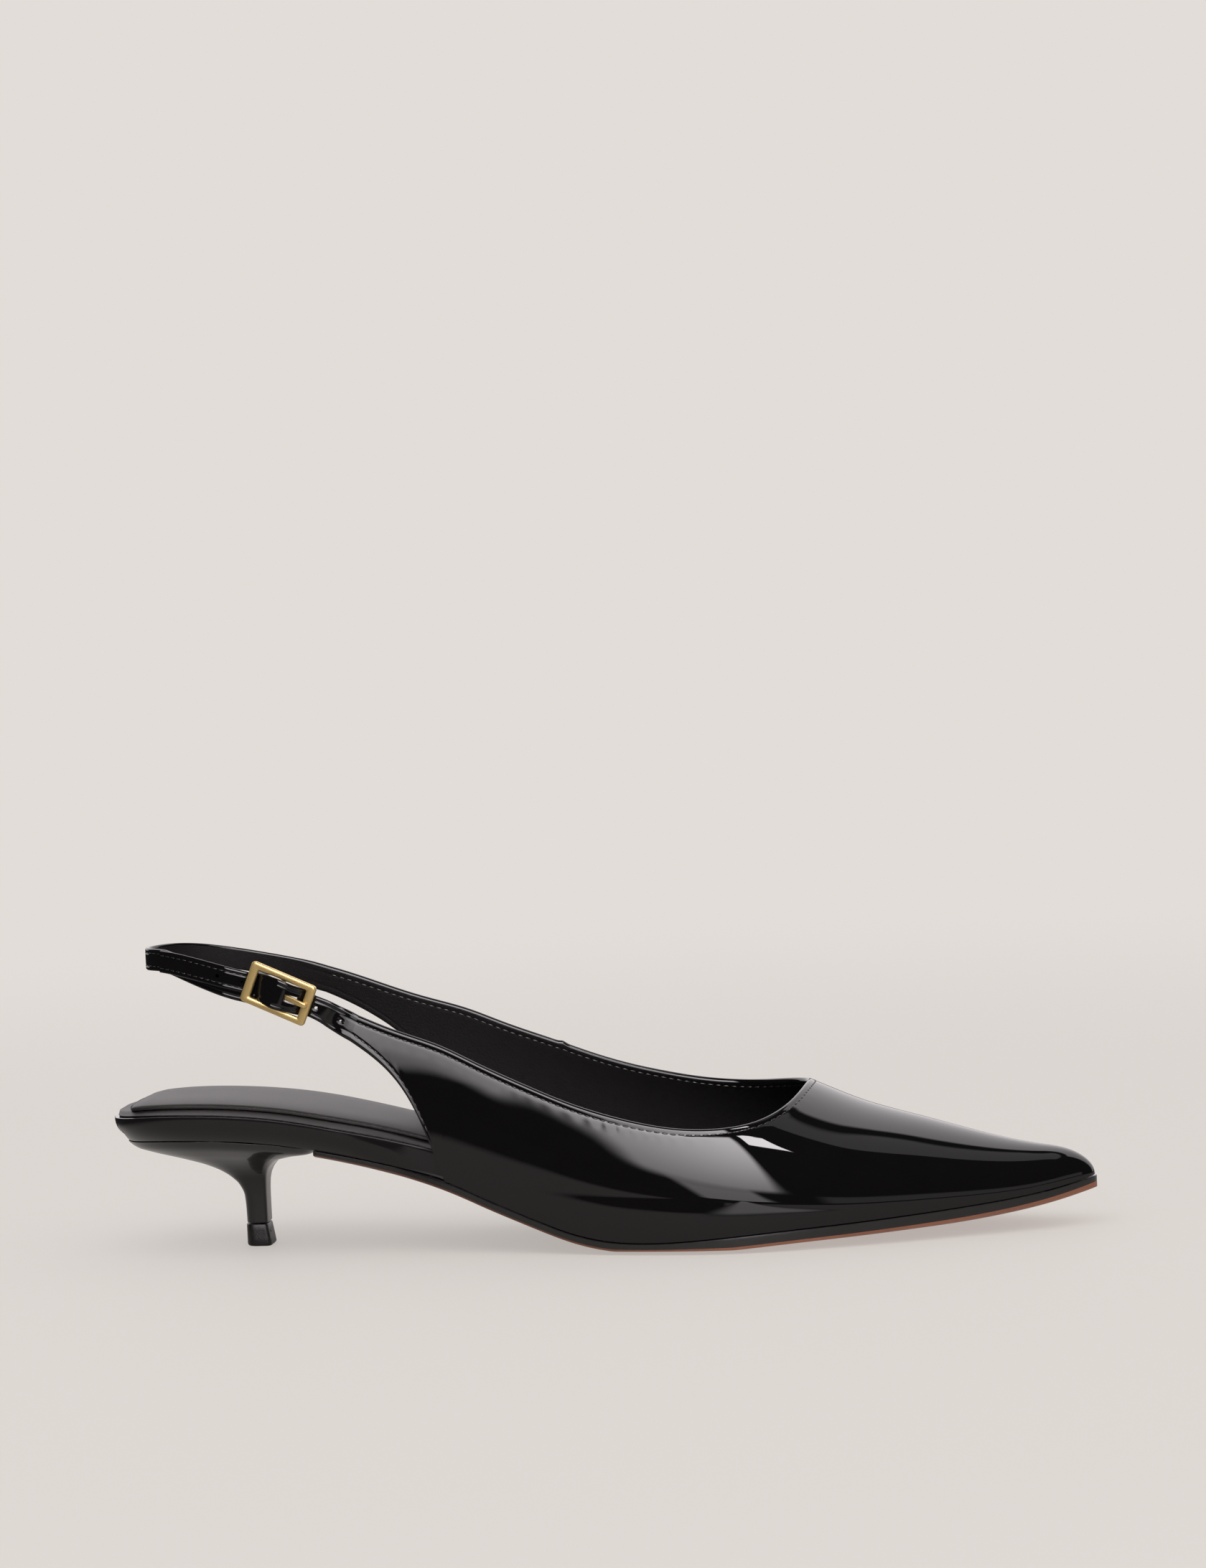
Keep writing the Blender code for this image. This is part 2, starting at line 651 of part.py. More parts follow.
def make_heel(material):
    """Kitten heel: a thin stem that spreads into the cup under the seat."""
    seat_back = SEAT_TAPER * TAPER_BACK + HEEL_BACK_INSET
    stem_front = STEM_BACK + STEM_LENGTH
    seat_half = SEAT_WIDTH / 2 - SEAT_TAPER - HEEL_SIDE_INSET
    seat_top = float(seam_height(STEM_BACK))
    levels = []
    for level, back, front, side in HEEL_LEVELS:
        start = STEM_BACK + (seat_back - STEM_BACK) * back
        end = stem_front + (HEEL_FRONT - stem_front) * front
        half = STEM_WIDTH / 2 + (seat_half - STEM_WIDTH / 2) * side
        follow = float(smooth_step((level - FOLLOW_FROM) / (1 - FOLLOW_FROM)))
        outline = []
        for x, y in heel_outline(start, end, half):
            slope = follow * (float(seam_height(x)) - seat_top)
            height = TOP_PIECE_HEIGHT + GAP + (seat_top - GAP / 2 - TOP_PIECE_HEIGHT - GAP) * (
                (level - HEEL_LEVELS[0][0]) / (1 - HEEL_LEVELS[0][0]))
            outline.append((x, y, height + slope))
        levels.append(outline)
    return make_lofted_levels("heel", levels, material)


def make_top_piece(material):
    """Top piece under the heel: flares a little towards the front and stands on the floor."""
    front = STEM_BACK + STEM_LENGTH
    levels = []
    for share, flare, tuck in ((0.0, 1.0, TOP_PIECE_TUCK), (0.1, 1.0, 0.0), (0.4, 0.7, 0.0), (1.0, 0.0, 0.0)):
        start = STEM_BACK - HEEL_SIDE_INSET + tuck
        end = front + TOP_PIECE_FLARE * flare - tuck
        half = STEM_WIDTH / 2 + 0.3 * TOP_PIECE_FLARE * flare - tuck
        levels.append([(x, y, share * TOP_PIECE_HEIGHT) for x, y in heel_outline(start, end, half)])
    return make_lofted_levels("top_piece", levels, material)


def unit(vector):
    return vector / np.linalg.norm(vector)


class StrapLine:
    """The line both straps follow, with the buckle's middle at distance 0 and the toe side plus."""

    def __init__(self):
        rib, _, _ = rib_curves()
        ends = []
        for at in (0.0, 1.0):
            places = rib(at)
            top, foot = [last_point(*place) for place in places]
            depth = last_normal(*((places[0] + places[1]) / 2)) * WALL / 2
            ends.append(((top + foot) / 2 - depth, top - foot))
        rows = []
        for along, side, rise in LOOP:
            x = along * LENGTH
            rows.append(np.array([x, side * BALL_WIDTH, float(seam_height(x)) + rise * INSTEP_RISE]))
        points = np.array([ends[0][0], *rows, ends[1][0]])
        chord = np.concatenate([[0.0], np.cumsum(np.linalg.norm(np.diff(points, axis=0), axis=1))])
        self.zero = chord[1 + BUCKLE_ROW]
        self.curves = [smooth_curve(chord, points[:, axis]) for axis in range(3)]
        self.outer_end = self.zero
        self.inner_end = self.zero - chord[-1]
        self.end_width = [np.linalg.norm(end[1]) for end in ends]
        self.end_up = [unit(end[1]) for end in ends]
        self.middle = self.loop(0.0)
        along = unit(self.loop(0.0005) - self.loop(-0.0005))
        upright = np.array([0.0, 0.0, 1.0])
        across = unit(upright - along * along[2])
        self.along = along * math.cos(BUCKLE_TURN) - across * math.sin(BUCKLE_TURN)
        self.straight = BUCKLE_LENGTH / 2 + 0.0015
        self.blend = 0.0060

    def loop(self, distance):
        return np.array([float(curve(self.zero - distance)) for curve in self.curves])

    def point(self, distance):
        """A point of the line, straight where the buckle lies."""
        bent = smooth_step((abs(distance) - self.straight) / self.blend)
        straight = self.middle + self.along * distance
        return straight + (self.loop(distance) - straight) * bent

    def up(self, distance):
        """The direction across the strap's width."""
        outer = smooth_step((distance - 0.3 * self.outer_end) / (0.7 * self.outer_end))
        inner = smooth_step((distance - 0.6 * self.inner_end) / (0.4 * self.inner_end))
        upright = np.array([0.0, 0.0, 1.0])
        return unit(upright + (self.end_up[0] - upright) * outer + (self.end_up[1] - upright) * inner)

    def frame(self, distance):
        """Point, direction along, direction across and outward normal."""
        step = 0.0004
        along = unit(self.point(distance + step) - self.point(distance - step))
        across = self.up(distance)
        near_end = min(self.outer_end - distance, distance - self.inner_end)
        square = float(smooth_step(near_end / STRAP_WIDTH))
        across = unit(across - along * np.dot(across, along) * square)
        return self.point(distance), along, across, unit(np.cross(along, across))

    def width(self, distance):
        outer = smooth_step((distance - 0.35 * self.outer_end) / (0.65 * self.outer_end))
        inner = smooth_step((distance - 0.8 * self.inner_end) / (0.2 * self.inner_end))
        wide = STRAP_WIDTH + (self.end_width[0] - STRAP_WIDTH) * outer
        return wide + (self.end_width[1] - STRAP_WIDTH) * inner

    def place(self, distance, out=0.0, over=0.0):
        point, _, across, normal = self.frame(distance)
        return point + normal * out + across * over


# Levels of the parts through the buckle, outwards from the strap line
FRAME_OUT = STRAP_THICKNESS / 2 + GAP + BAR_DEPTH / 2
BAR_OUT = FRAME_OUT - MIDDLE_BAR_DROP
RING_RADIUS = MIDDLE_BAR_RADIUS + GAP + PRONG_DEPTH / 2
WRAP_RADIUS = MIDDLE_BAR_RADIUS + GAP + SKIVED / 2
CREST_OUT = BAR_OUT + MIDDLE_BAR_RADIUS + 2 * GAP + PRONG_DEPTH + STRAP_THICKNESS / 2
END_BAR_AT = (BUCKLE_LENGTH - END_BAR) / 2
PAIR_OUT = (STRAP_THICKNESS + GAP) / 2
BUCKLE_HEIGHT = STRAP_WIDTH + 2 * (BUCKLE_PLAY + RAIL)


def arch(distance):
    """From 0 under the end bars to 1 over the middle bar."""
    return 0.5 + 0.5 * math.cos(math.pi * min(abs(distance) / (END_BAR_AT - END_BAR / 2), 1.0))


def buckled_out(distance):
    """How far the buckled strap stands out: under the end bars and over the middle bar."""
    tail = float(smooth_step((-distance - END_BAR_AT - END_BAR / 2) / TAIL_EASE))
    return CREST_OUT * arch(distance) + PAIR_OUT * tail


def sling_out(distance):
    """How far the heel strap stands out: under the tail, then up and round the middle bar."""
    under = -PAIR_OUT * 2
    if distance > -END_BAR_AT:
        return under + (BAR_OUT + WRAP_RADIUS - under) * arch(distance)
    paired = float(smooth_step((-distance - END_BAR_AT - END_BAR / 2) / TAIL_EASE))
    alone = float(smooth_step((-distance - STRAP_TAIL) / LONE_EASE))
    return under + (PAIR_OUT * 2 - PAIR_OUT) * paired + PAIR_OUT * alone


def sling_sag(distance):
    """How far the heel strap hangs under the tail, and back up on to the middle bar."""
    hang = float(smooth_step((distance + STRAP_TAIL) / (STRAP_TAIL - 1.5 * END_BAR_AT)))
    back = float(smooth_step((distance + END_BAR_AT) / (0.6 * END_BAR_AT)))
    return -SLING_HANG * hang * (1 - back) - SLING_REST * back


def sweep(name, rows, material):
    """A flat band through rows of point, width direction, width and thickness."""
    points, faces = [], []
    centres = np.array([row[0] for row in rows])
    tangents = np.gradient(centres, axis=0)
    for (centre, across, width, depth), tangent in zip(rows, tangents):
        normal = unit(np.cross(unit(tangent), across))
        for side, face in ((-1, -1), (1, -1), (1, 1), (-1, 1)):
            points.append(centre + across * side * width / 2 + normal * face * depth / 2)
    for i in range(len(rows) - 1):
        for k in range(4):
            a, b = 4 * i + k, 4 * i + (k + 1) % 4
            faces.append((a, b, b + 4, a + 4))
    end = 4 * (len(rows) - 1)
    faces.append((3, 2, 1, 0))
    faces.append((end, end + 1, end + 2, end + 3))
    return make_object(name, points, faces, material)


def make_box_cutter(name, line, start, end, width, depth):
    """A box along the strap line at the buckle, for a slot."""
    points = []
    for distance in (start, end):
        for over, out in ((-1, -1), (1, -1), (1, 1), (-1, 1)):
            points.append(line.middle + line.along * distance
                          + line.frame(0.0)[2] * over * width / 2
                          + line.frame(0.0)[3] * (BAR_OUT + out * depth / 2))
    faces = [(0, 1, 2, 3), (7, 6, 5, 4)]
    faces += [(k, k + 4, (k + 1) % 4 + 4, (k + 1) % 4) for k in range(4)]
    return make_object(name, points, faces, None)


def make_rod(name, start, end, radius, sides=12):
    """A closed round rod between two points."""
    axis = unit(end - start)
    first = unit(np.cross(axis, [0.0, 0.0, 1.0] if abs(axis[2]) < 0.9 else [1.0, 0.0, 0.0]))
    second = np.cross(axis, first)
    points, faces = [], []
    for centre in (start, end):
        for k in range(sides):
            angle = 2 * math.pi * k / sides
            points.append(centre + radius * (first * math.cos(angle) + second * math.sin(angle)))
    for k in range(sides):
        a, b = k, (k + 1) % sides
        faces.append((a, b, b + sides, a + sides))
    faces.append(tuple(range(sides))[::-1])
    faces.append(tuple(range(sides, 2 * sides)))
    return make_object(name, points, faces, None)


def make_buckled_strap(line, material):
    """The outer quarter's strap: through the buckle, over its middle bar, with its free tail."""
    stops = np.arange(line.outer_end - GAP, -STRAP_TAIL, -STRAP_STEP * 0.75)
    rows = []
    for distance in (*stops, -STRAP_TAIL):
        _, _, across, _ = line.frame(distance)
        rows.append((line.place(distance, buckled_out(distance)), across,
                     line.width(distance), STRAP_THICKNESS))
    strap = sweep("buckle_strap", rows, material)
    slot = make_box_cutter("prong_slot", line, SLOT_BACK, END_BAR_AT - END_BAR / 2 - SLOT_FRONT,
                           PRONG_WIDTH + 2 * GAP, CUT_DEPTH)
    cut_with(strap, slot)
    prong_at = END_BAR_AT * 0.4
    for number in (-3, -2, 1, 2):
        distance = prong_at + number * HOLE_PITCH
        out = buckled_out(distance)
        hole = make_rod("hole_" + str(number + 4), line.place(distance, out - STRAP_THICKNESS),
                        line.place(distance, out + STRAP_THICKNESS), HOLE_RADIUS)
        cut_with(strap, hole)
    return strap


def make_sling_strap(line, material):
    """The inner quarter's strap: round the back of the heel, then round the buckle's middle bar."""
    rows = []
    bend_end = -END_BAR_AT - 0.004
    _, bar_along, bar_across, bar_normal = line.frame(0.0)
    for distance in np.linspace(line.inner_end + GAP, bend_end, 54):
        _, _, across, _ = line.frame(distance)
        rows.append((line.place(distance, sling_out(distance), sling_sag(distance)), across,
                     line.width(distance), STRAP_THICKNESS))
    thin = STRAP_THICKNESS
    for distance in np.linspace(bend_end, 0.0, 10)[1:]:
        share = (distance - bend_end) / -bend_end
        thin = STRAP_THICKNESS + (SKIVED - STRAP_THICKNESS) * float(smooth_step(2.4 * share))
        rows.append((line.place(distance, sling_out(distance), sling_sag(distance)),
                     bar_across, STRAP_WIDTH - SLING_TRIM * share, thin))
    bar = line.middle + bar_normal * BAR_OUT - bar_across * SLING_REST
    for step in range(1, 9):
        angle = math.pi / 2 - math.pi * step / 8
        rows.append((bar + WRAP_RADIUS * (bar_along * math.cos(angle) + bar_normal * math.sin(angle)),
                     bar_across, STRAP_WIDTH - SLING_TRIM, SKIVED))
    lowest = -PAIR_OUT * 2 - (STRAP_THICKNESS + SKIVED) / 2 - GAP
    for step in range(1, 7):
        share = step / 6
        distance = -TURN_BACK * share
        start = BAR_OUT - WRAP_RADIUS
        out = start + (lowest - start) * float(smooth_step(1.25 * share))
        rows.append((line.middle + bar_along * distance + bar_normal * out - bar_across * SLING_REST,
                     bar_across, STRAP_WIDTH - SLING_TRIM, SKIVED))
    strap = sweep("sling_strap", rows, material)
    reach = WRAP_RADIUS + SKIVED / 2 + GAP * 2
    slot = make_box_cutter("ring_slot", line, -reach - GAP, reach, PRONG_WIDTH + 2 * GAP, CUT_DEPTH)
    cut_with(strap, slot)
    return strap


def rounded_rectangle(left, right, low, high, radius, steps=4):
    outline = []
    for x, y, start in ((right - radius, high - radius, 0), (left + radius, high - radius, 90),
                        (left + radius, low + radius, 180), (right - radius, low + radius, 270)):
        for step in range(steps + 1):
            angle = math.radians(start + 90 * step / steps)
            outline.append((x + radius * math.cos(angle), y + radius * math.sin(angle)))
    return outline


def make_buckle(line, material):
    """Buckle frame with its middle bar, one metal piece with softened edges."""
    half_long, half_high = BUCKLE_LENGTH / 2, BUCKLE_HEIGHT / 2
    soft = 0.18 * BAR_DEPTH
    shells = (
        (0.0, 0.0, -1.0), (0.0, 0.0, 1.0 - 2 * soft / BAR_DEPTH), (soft, soft, 1.0),
        (END_BAR - soft, RAIL - soft, 1.0), (END_BAR, RAIL, 1.0 - 2 * soft / BAR_DEPTH),
        (END_BAR, RAIL, -1.0),
    )
    points, faces = [], []
    _, along, across, normal = line.frame(0.0)
    for inset_x, inset_y, level in shells:
        radius = max(0.0012 - 0.5 * min(inset_x, inset_y), 0.0004)
        outline = rounded_rectangle(-half_long + inset_x, half_long - inset_x,
                                    -half_high + inset_y, half_high - inset_y, radius)
        for x, y in outline:
            points.append(line.middle + along * x + across * y
                          + normal * (FRAME_OUT + level * BAR_DEPTH / 2))
    ring = len(points) // len(shells)
    for shell in range(len(shells)):
        for i in range(ring):
            a, b = shell * ring + i, shell * ring + (i + 1) % ring
            c = (shell + 1) % len(shells) * ring + (i + 1) % ring
            d = (shell + 1) % len(shells) * ring + i
            faces.append((a, b, c, d))
    frame = make_object("buckle_frame", points, faces, material)
    bar = line.middle + normal * BAR_OUT
    reach = across * (half_high - RAIL / 2)
    cut_with(frame, make_rod("middle_bar", bar - reach, bar + reach, MIDDLE_BAR_RADIUS), "UNION")
    return frame


def make_prong(line, material):
    """Prong: hooked round the middle bar, out through the strap, over the front bar."""
    _, along, across, normal = line.frame(0.0)
    bar = line.middle + normal * BAR_OUT
    rows = []
    rest = FRAME_OUT + BAR_DEPTH / 2 + GAP + PRONG_DEPTH / 2
    tip_at = END_BAR_AT + END_BAR * 0.25
    for step in range(13):
        angle = HOOK_START + (math.pi / 2 - HOOK_START) * step / 12
        rows.append((bar + RING_RADIUS * (normal * math.sin(angle) - along * math.cos(angle)),
                     across, PRONG_WIDTH, PRONG_DEPTH))
    top = RING_RADIUS + BAR_OUT
    for step in range(1, 7):
        share = step / 6
        distance = tip_at * share
        out = top + (rest - top) * float(smooth_step(share * 1.1))
        rows.append((line.middle + along * distance + normal * out, across,
                     PRONG_WIDTH * (1 - PRONG_TAPER * share), PRONG_DEPTH * (1 - PRONG_TAPER / 2 * share)))
    return sweep("buckle_prong", rows, material)


def main():
    clear_scene()
    patent = make_material("patent_leather", (0.010, 0.009, 0.010), 0.08, coat=1.0)
    covered = make_material("covered_board", (0.014, 0.012, 0.013), 0.16, coat=0.8)
    sock = make_material("sock_leather", (0.030, 0.026, 0.025), 0.55)
    tan = make_material("sole_leather", (0.42, 0.16, 0.08), 0.45)
    lacquer = make_material("heel_lacquer", (0.012, 0.010, 0.010), 0.12, coat=0.8)
    rubber = make_material("top_piece_rubber", (0.012, 0.011, 0.011), 0.45)
    gold = make_material("satin_gold", (0.72, 0.48, 0.16), 0.30, metallic=1.0)
    make_upper(patent)
    make_board(covered)
    make_sock(sock)
    make_pad(sock)
    make_outsole(tan)
    make_heel(lacquer)
    make_top_piece(rubber)
    line = StrapLine()
    make_sling_strap(line, patent)
    make_buckled_strap(line, patent)
    make_buckle(line, gold)
    make_prong(line, gold)


main()
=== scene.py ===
# Black patent slingback pump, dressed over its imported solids
# Metres, +Z up, toe to +X, the outer side of the right foot to -Y
import bpy
import bmesh
import math
import numpy as np
from mathutils import Matrix, Vector


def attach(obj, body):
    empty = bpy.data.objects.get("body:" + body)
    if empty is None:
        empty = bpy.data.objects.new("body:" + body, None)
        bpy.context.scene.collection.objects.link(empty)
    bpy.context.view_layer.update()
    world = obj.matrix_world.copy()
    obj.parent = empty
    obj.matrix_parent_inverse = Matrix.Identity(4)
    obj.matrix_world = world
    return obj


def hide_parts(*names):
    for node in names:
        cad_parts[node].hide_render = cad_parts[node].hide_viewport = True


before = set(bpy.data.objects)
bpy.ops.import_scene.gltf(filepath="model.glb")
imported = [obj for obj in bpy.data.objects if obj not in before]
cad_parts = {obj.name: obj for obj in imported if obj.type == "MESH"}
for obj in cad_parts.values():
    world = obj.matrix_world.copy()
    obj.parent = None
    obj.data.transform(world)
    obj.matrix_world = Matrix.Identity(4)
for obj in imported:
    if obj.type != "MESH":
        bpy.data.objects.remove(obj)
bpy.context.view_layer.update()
print("frame loaded:", len(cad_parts), "solids")

# shape of the last, as in the solids
last = {
    "length": 0.2710, "ballWidth": 0.0765, "seatWidth": 0.0530, "heelRise": 0.0293,
    "toeSpring": 0.0098, "instepRise": 0.0360, "nose": 0.0140, "soleThickness": 0.0035,
    "ballWear": 0.00035, "soleMargin": 0.0005, "seatStart": 0.0004, "gap": 0.0003,
    "seatTaper": 0.0034, "seatThickness": 0.0070, "boardThickness": 0.0024, "wall": 0.0018,
    "seatRound": 0.56, "seatBackPower": 2.9, "seatSidePower": 2.5, "seatMiddle": 0.007,
    "seatFrom": 0.155, "boardJoins": (0.235, 0.105), "boardThins": (0.36, 0.24), "soleJoins": (0.30, 0.060),
    "waist": 0.3,
}
seamRows = (  # share of length, heel part, toe part
    (0.000, 0.947, 0.000), (0.044, 0.991, 0.000), (0.088, 1.000, 0.000), (0.140, 0.978, 0.000),
    (0.192, 0.923, 0.000), (0.228, 0.862, 0.000), (0.273, 0.773, 0.000), (0.317, 0.674, 0.000),
    (0.354, 0.572, 0.000), (0.390, 0.428, 0.000), (0.442, 0.230, 0.000), (0.486, 0.084, 0.000),
    (0.523, 0.016, 0.000), (0.560, 0.000, 0.000), (0.597, 0.000, 0.035), (0.633, 0.000, 0.107),
    (0.678, 0.000, 0.200), (0.759, 0.000, 0.320), (0.829, 0.000, 0.425), (0.895, 0.000, 0.556),
    (0.961, 0.000, 0.780), (1.000, 0.000, 1.000),
)
soleRows = (  # share of length, share of the sole's thickness
    (0.000, 0.720), (0.220, 0.720), (0.360, 0.980), (0.520, 1.000),
    (0.580, 1.080), (0.660, 1.300), (0.850, 1.300), (1.000, 0.950),
)
sectionRows = (  # share of length, outer, inner, height, fullness, shift of the ridge
    (0.155, 0.294, 0.320, 1.889, 0.12, 0.026), (0.228, 0.314, 0.327, 1.944, 0.12, 0.026),
    (0.302, 0.327, 0.327, 1.944, 0.12, 0.026), (0.354, 0.340, 0.329, 1.931, 0.12, 0.026),
    (0.413, 0.369, 0.342, 1.889, 0.12, 0.026), (0.486, 0.424, 0.379, 1.792, 0.12, 0.026),
    (0.560, 0.476, 0.437, 1.583, 0.11, 0.026), (0.619, 0.497, 0.481, 1.347, 0.10, 0.026),
    (0.670, 0.486, 0.497, 1.144, 0.09, 0.026), (0.710, 0.452, 0.489, 1.000, 0.08, 0.026),
    (0.764, 0.390, 0.447, 0.803, 0.07, 0.020), (0.821, 0.308, 0.376, 0.650, 0.06, 0.013),
    (0.880, 0.214, 0.295, 0.491, 0.05, 0.008), (0.939, 0.115, 0.209, 0.339, 0.04, 0.004),
    (0.972, 0.055, 0.159, 0.262, 0.04, 0.001), (1.000, 0.007, 0.124, 0.192, 0.04, 0.000),
)
ribRows = (  # topline: share of length and of the half turn; foot of the same rib
    (0.272, 0.193, 0.262, 0.153), (0.298, 0.186, 0.292, 0.131), (0.334, 0.181, 0.328, 0.076),
    (0.360, 0.180, 0.354, 0.000), (0.445, 0.182, 0.445, 0.000), (0.525, 0.190, 0.535, 0.000),
    (0.590, 0.198, 0.620, 0.000), (0.638, 0.221, 0.700, 0.000), (0.674, 0.261, 0.780, 0.000),
    (0.699, 0.330, 0.880, 0.000), (0.710, 0.410, 1.000, 0.000), (0.713, 0.500, 1.000, 0.500),
    (0.7085, 0.580, 1.000, 1.000), (0.690, 0.645, 0.880, 1.000), (0.650, 0.713, 0.770, 1.000),
    (0.597, 0.752, 0.680, 1.000), (0.546, 0.765, 0.600, 1.000), (0.495, 0.772, 0.520, 1.000),
    (0.439, 0.781, 0.445, 1.000), (0.376, 0.791, 0.354, 1.000), (0.330, 0.794, 0.328, 0.925),
    (0.290, 0.791, 0.292, 0.870), (0.250, 0.782, 0.245, 0.835), (0.215, 0.772, 0.207, 0.816),
)
loopRows = (  # heel strap's line: share of length, side in ball widths, rise in instep rises
    (0.192, -0.276, 1.180), (0.157, -0.252, 1.222), (0.110, -0.212, 1.292),
    (0.066, -0.146, 1.355), (0.0415, -0.040, 1.365), (0.0415, 0.052, 1.360),
    (0.064, 0.160, 1.345), (0.110, 0.236, 1.292), (0.160, 0.272, 1.232),
)
heelRows = (  # level up the heel, then how far it has spread back, forward and sideways
    (0.20, 0.000, 0.000, 0.000), (0.32, 0.003, 0.000, 0.000), (0.44, 0.012, 0.000, 0.004),
    (0.54, 0.055, 0.006, 0.022), (0.61, 0.125, 0.020, 0.065), (0.67, 0.215, 0.055, 0.150),
    (0.73, 0.350, 0.130, 0.280), (0.79, 0.540, 0.260, 0.450), (0.86, 0.770, 0.560, 0.680),
    (0.93, 0.930, 0.900, 0.880), (1.00, 1.000, 1.000, 1.000),
)
midShift = (last["length"] + last["soleMargin"] + last["seatStart"]) / 2
seatMiddle = last["ballWidth"] * last["seatMiddle"]


def smoothCurve(places, values):
    # natural cubic spline
    places, values = np.asarray(places, float), np.asarray(values, float)
    count, steps = len(places), np.diff(places)
    slopes, matrix, right = np.diff(values) / steps, np.eye(count), np.zeros(count)
    for row in range(1, count - 1):
        matrix[row, row - 1:row + 2] = steps[row - 1], 2 * (steps[row - 1] + steps[row]), steps[row]
        right[row] = 6 * (slopes[row] - slopes[row - 1])
    bend = np.linalg.solve(matrix, right)

    def value(at):
        at = np.asarray(at, float)
        left = np.clip(np.searchsorted(places, at) - 1, 0, count - 2)
        before, after, step = at - places[left], places[left + 1] - at, steps[left]
        cubic = (bend[left] * after ** 3 + bend[left + 1] * before ** 3) / (6 * step)
        first = (values[left] / step - bend[left] * step / 6) * after
        return cubic + first + (values[left + 1] / step - bend[left + 1] * step / 6) * before

    return value


def steadyCurve(places, values):
    # a curve that never swings past its rows
    places, values = np.asarray(places, float), np.asarray(values, float)
    steps = np.diff(places)
    slopes = np.diff(values) / steps
    lean = np.zeros(len(places))
    lean[0], lean[-1] = slopes[0], slopes[-1]
    for row in range(1, len(places) - 1):
        if slopes[row - 1] * slopes[row] > 0:
            w1, w2 = 2 * steps[row] + steps[row - 1], steps[row] + 2 * steps[row - 1]
            lean[row] = (w1 + w2) / (w1 / slopes[row - 1] + w2 / slopes[row])

    def value(at):
        at = np.clip(np.asarray(at, float), places[0], places[-1])
        left = np.clip(np.searchsorted(places, at) - 1, 0, len(places) - 2)
        step = steps[left]
        t = (at - places[left]) / step
        start = values[left] * (1 + 2 * t) * (1 - t) ** 2 + lean[left] * step * t * (1 - t) ** 2
        return start + values[left + 1] * t * t * (3 - 2 * t) + lean[left + 1] * step * t * t * (t - 1)

    return value


def smoothStep(value):
    value = np.clip(value, 0.0, 1.0)
    return value * value * (3 - 2 * value)


def bell(value, middle, width):
    return np.exp(-((value - middle) / width) ** 2)


def unit(vector):
    return vector / np.linalg.norm(vector, axis=-1, keepdims=True)


def tableColumn(table, index):
    return [row[index] for row in table]


def runAlong(points):
    # distance from the first point to each of the others
    return np.concatenate([[0.0], np.cumsum(np.linalg.norm(np.diff(points, axis=0), axis=1))])


heelPart = smoothCurve(tableColumn(seamRows, 0), tableColumn(seamRows, 1))
toePart = smoothCurve(tableColumn(seamRows, 0), tableColumn(seamRows, 2))
soleBody = steadyCurve(tableColumn(soleRows, 0), tableColumn(soleRows, 1))
outerPart, innerPart, heightPart, fullPart, shiftPart = [
    smoothCurve(tableColumn(sectionRows, 0), tableColumn(sectionRows, index)) for index in range(1, 6)]


def seamHeight(x):
    share = np.asarray(x, float) / last["length"]
    rise = last["heelRise"] * heelPart(share) + last["toeSpring"] * toePart(share)
    return rise + last["soleThickness"] - last["ballWear"]


def treadHeight(x):
    share = np.asarray(x, float) / last["length"]
    return np.maximum(0.0, seamHeight(x) - last["soleThickness"] * soleBody(share))


def reachOf(x):
    start = last["length"] - last["nose"]
    past = np.clip((np.asarray(x, float) - start) / last["nose"], 0.0, 1.0)
    return np.where(past > 0, start + 2 * last["nose"] * (1 - np.sqrt(1 - past)), x)


def lastPoint(reach, turn):
    start = last["length"] - last["nose"]
    half = np.clip((np.asarray(reach, float) - start) / (2 * last["nose"]), 0.0, 1.0)
    past = 2 * half - half * half
    x = np.where(half > 0, start + last["nose"] * past, reach)
    cap = np.sqrt(np.maximum(0.0, 1 - past ** 3))
    share, angle = x / last["length"], math.pi * np.asarray(turn, float)
    spread = last["ballWidth"] * (innerPart(share) + outerPart(share)) / 2 * cap
    middle = last["ballWidth"] * (innerPart(share) - outerPart(share)) / 2
    across = np.cos(angle) + fullPart(share) * np.sin(2 * angle)
    shift = last["ballWidth"] * shiftPart(share) * cap * np.sin(angle) ** 2
    z = seamHeight(x) + last["instepRise"] * heightPart(share) * cap * np.sin(angle)
    return np.stack(np.broadcast_arrays(x, middle - spread * across + shift, z), -1)


def lastNormal(reach, turn):
    step, swing = last["length"] * 1e-4, 1e-4
    reach = np.minimum(np.asarray(reach, float), last["length"] + last["nose"] - 2 * step)
    along = lastPoint(reach + step, turn) - lastPoint(reach - step, turn)
    over = lastPoint(reach, turn + swing) - lastPoint(reach, turn - swing)
    return unit(np.cross(along, over))


def featherLine(reach, side, grow):
    # plan of the seam on one side, moved outwards
    turn = 0.0 if side < 0 else 1.0
    step = last["length"] * 1e-4
    reach = np.asarray(reach, float)
    near = np.minimum(reach, last["length"] + last["nose"] - 2 * step)
    along = lastPoint(near + step, turn)[..., :2] - lastPoint(near - step, turn)[..., :2]
    out = np.stack([-along[..., 1], along[..., 0]], -1) * side
    return lastPoint(reach, turn)[..., :2] + unit(out) * grow


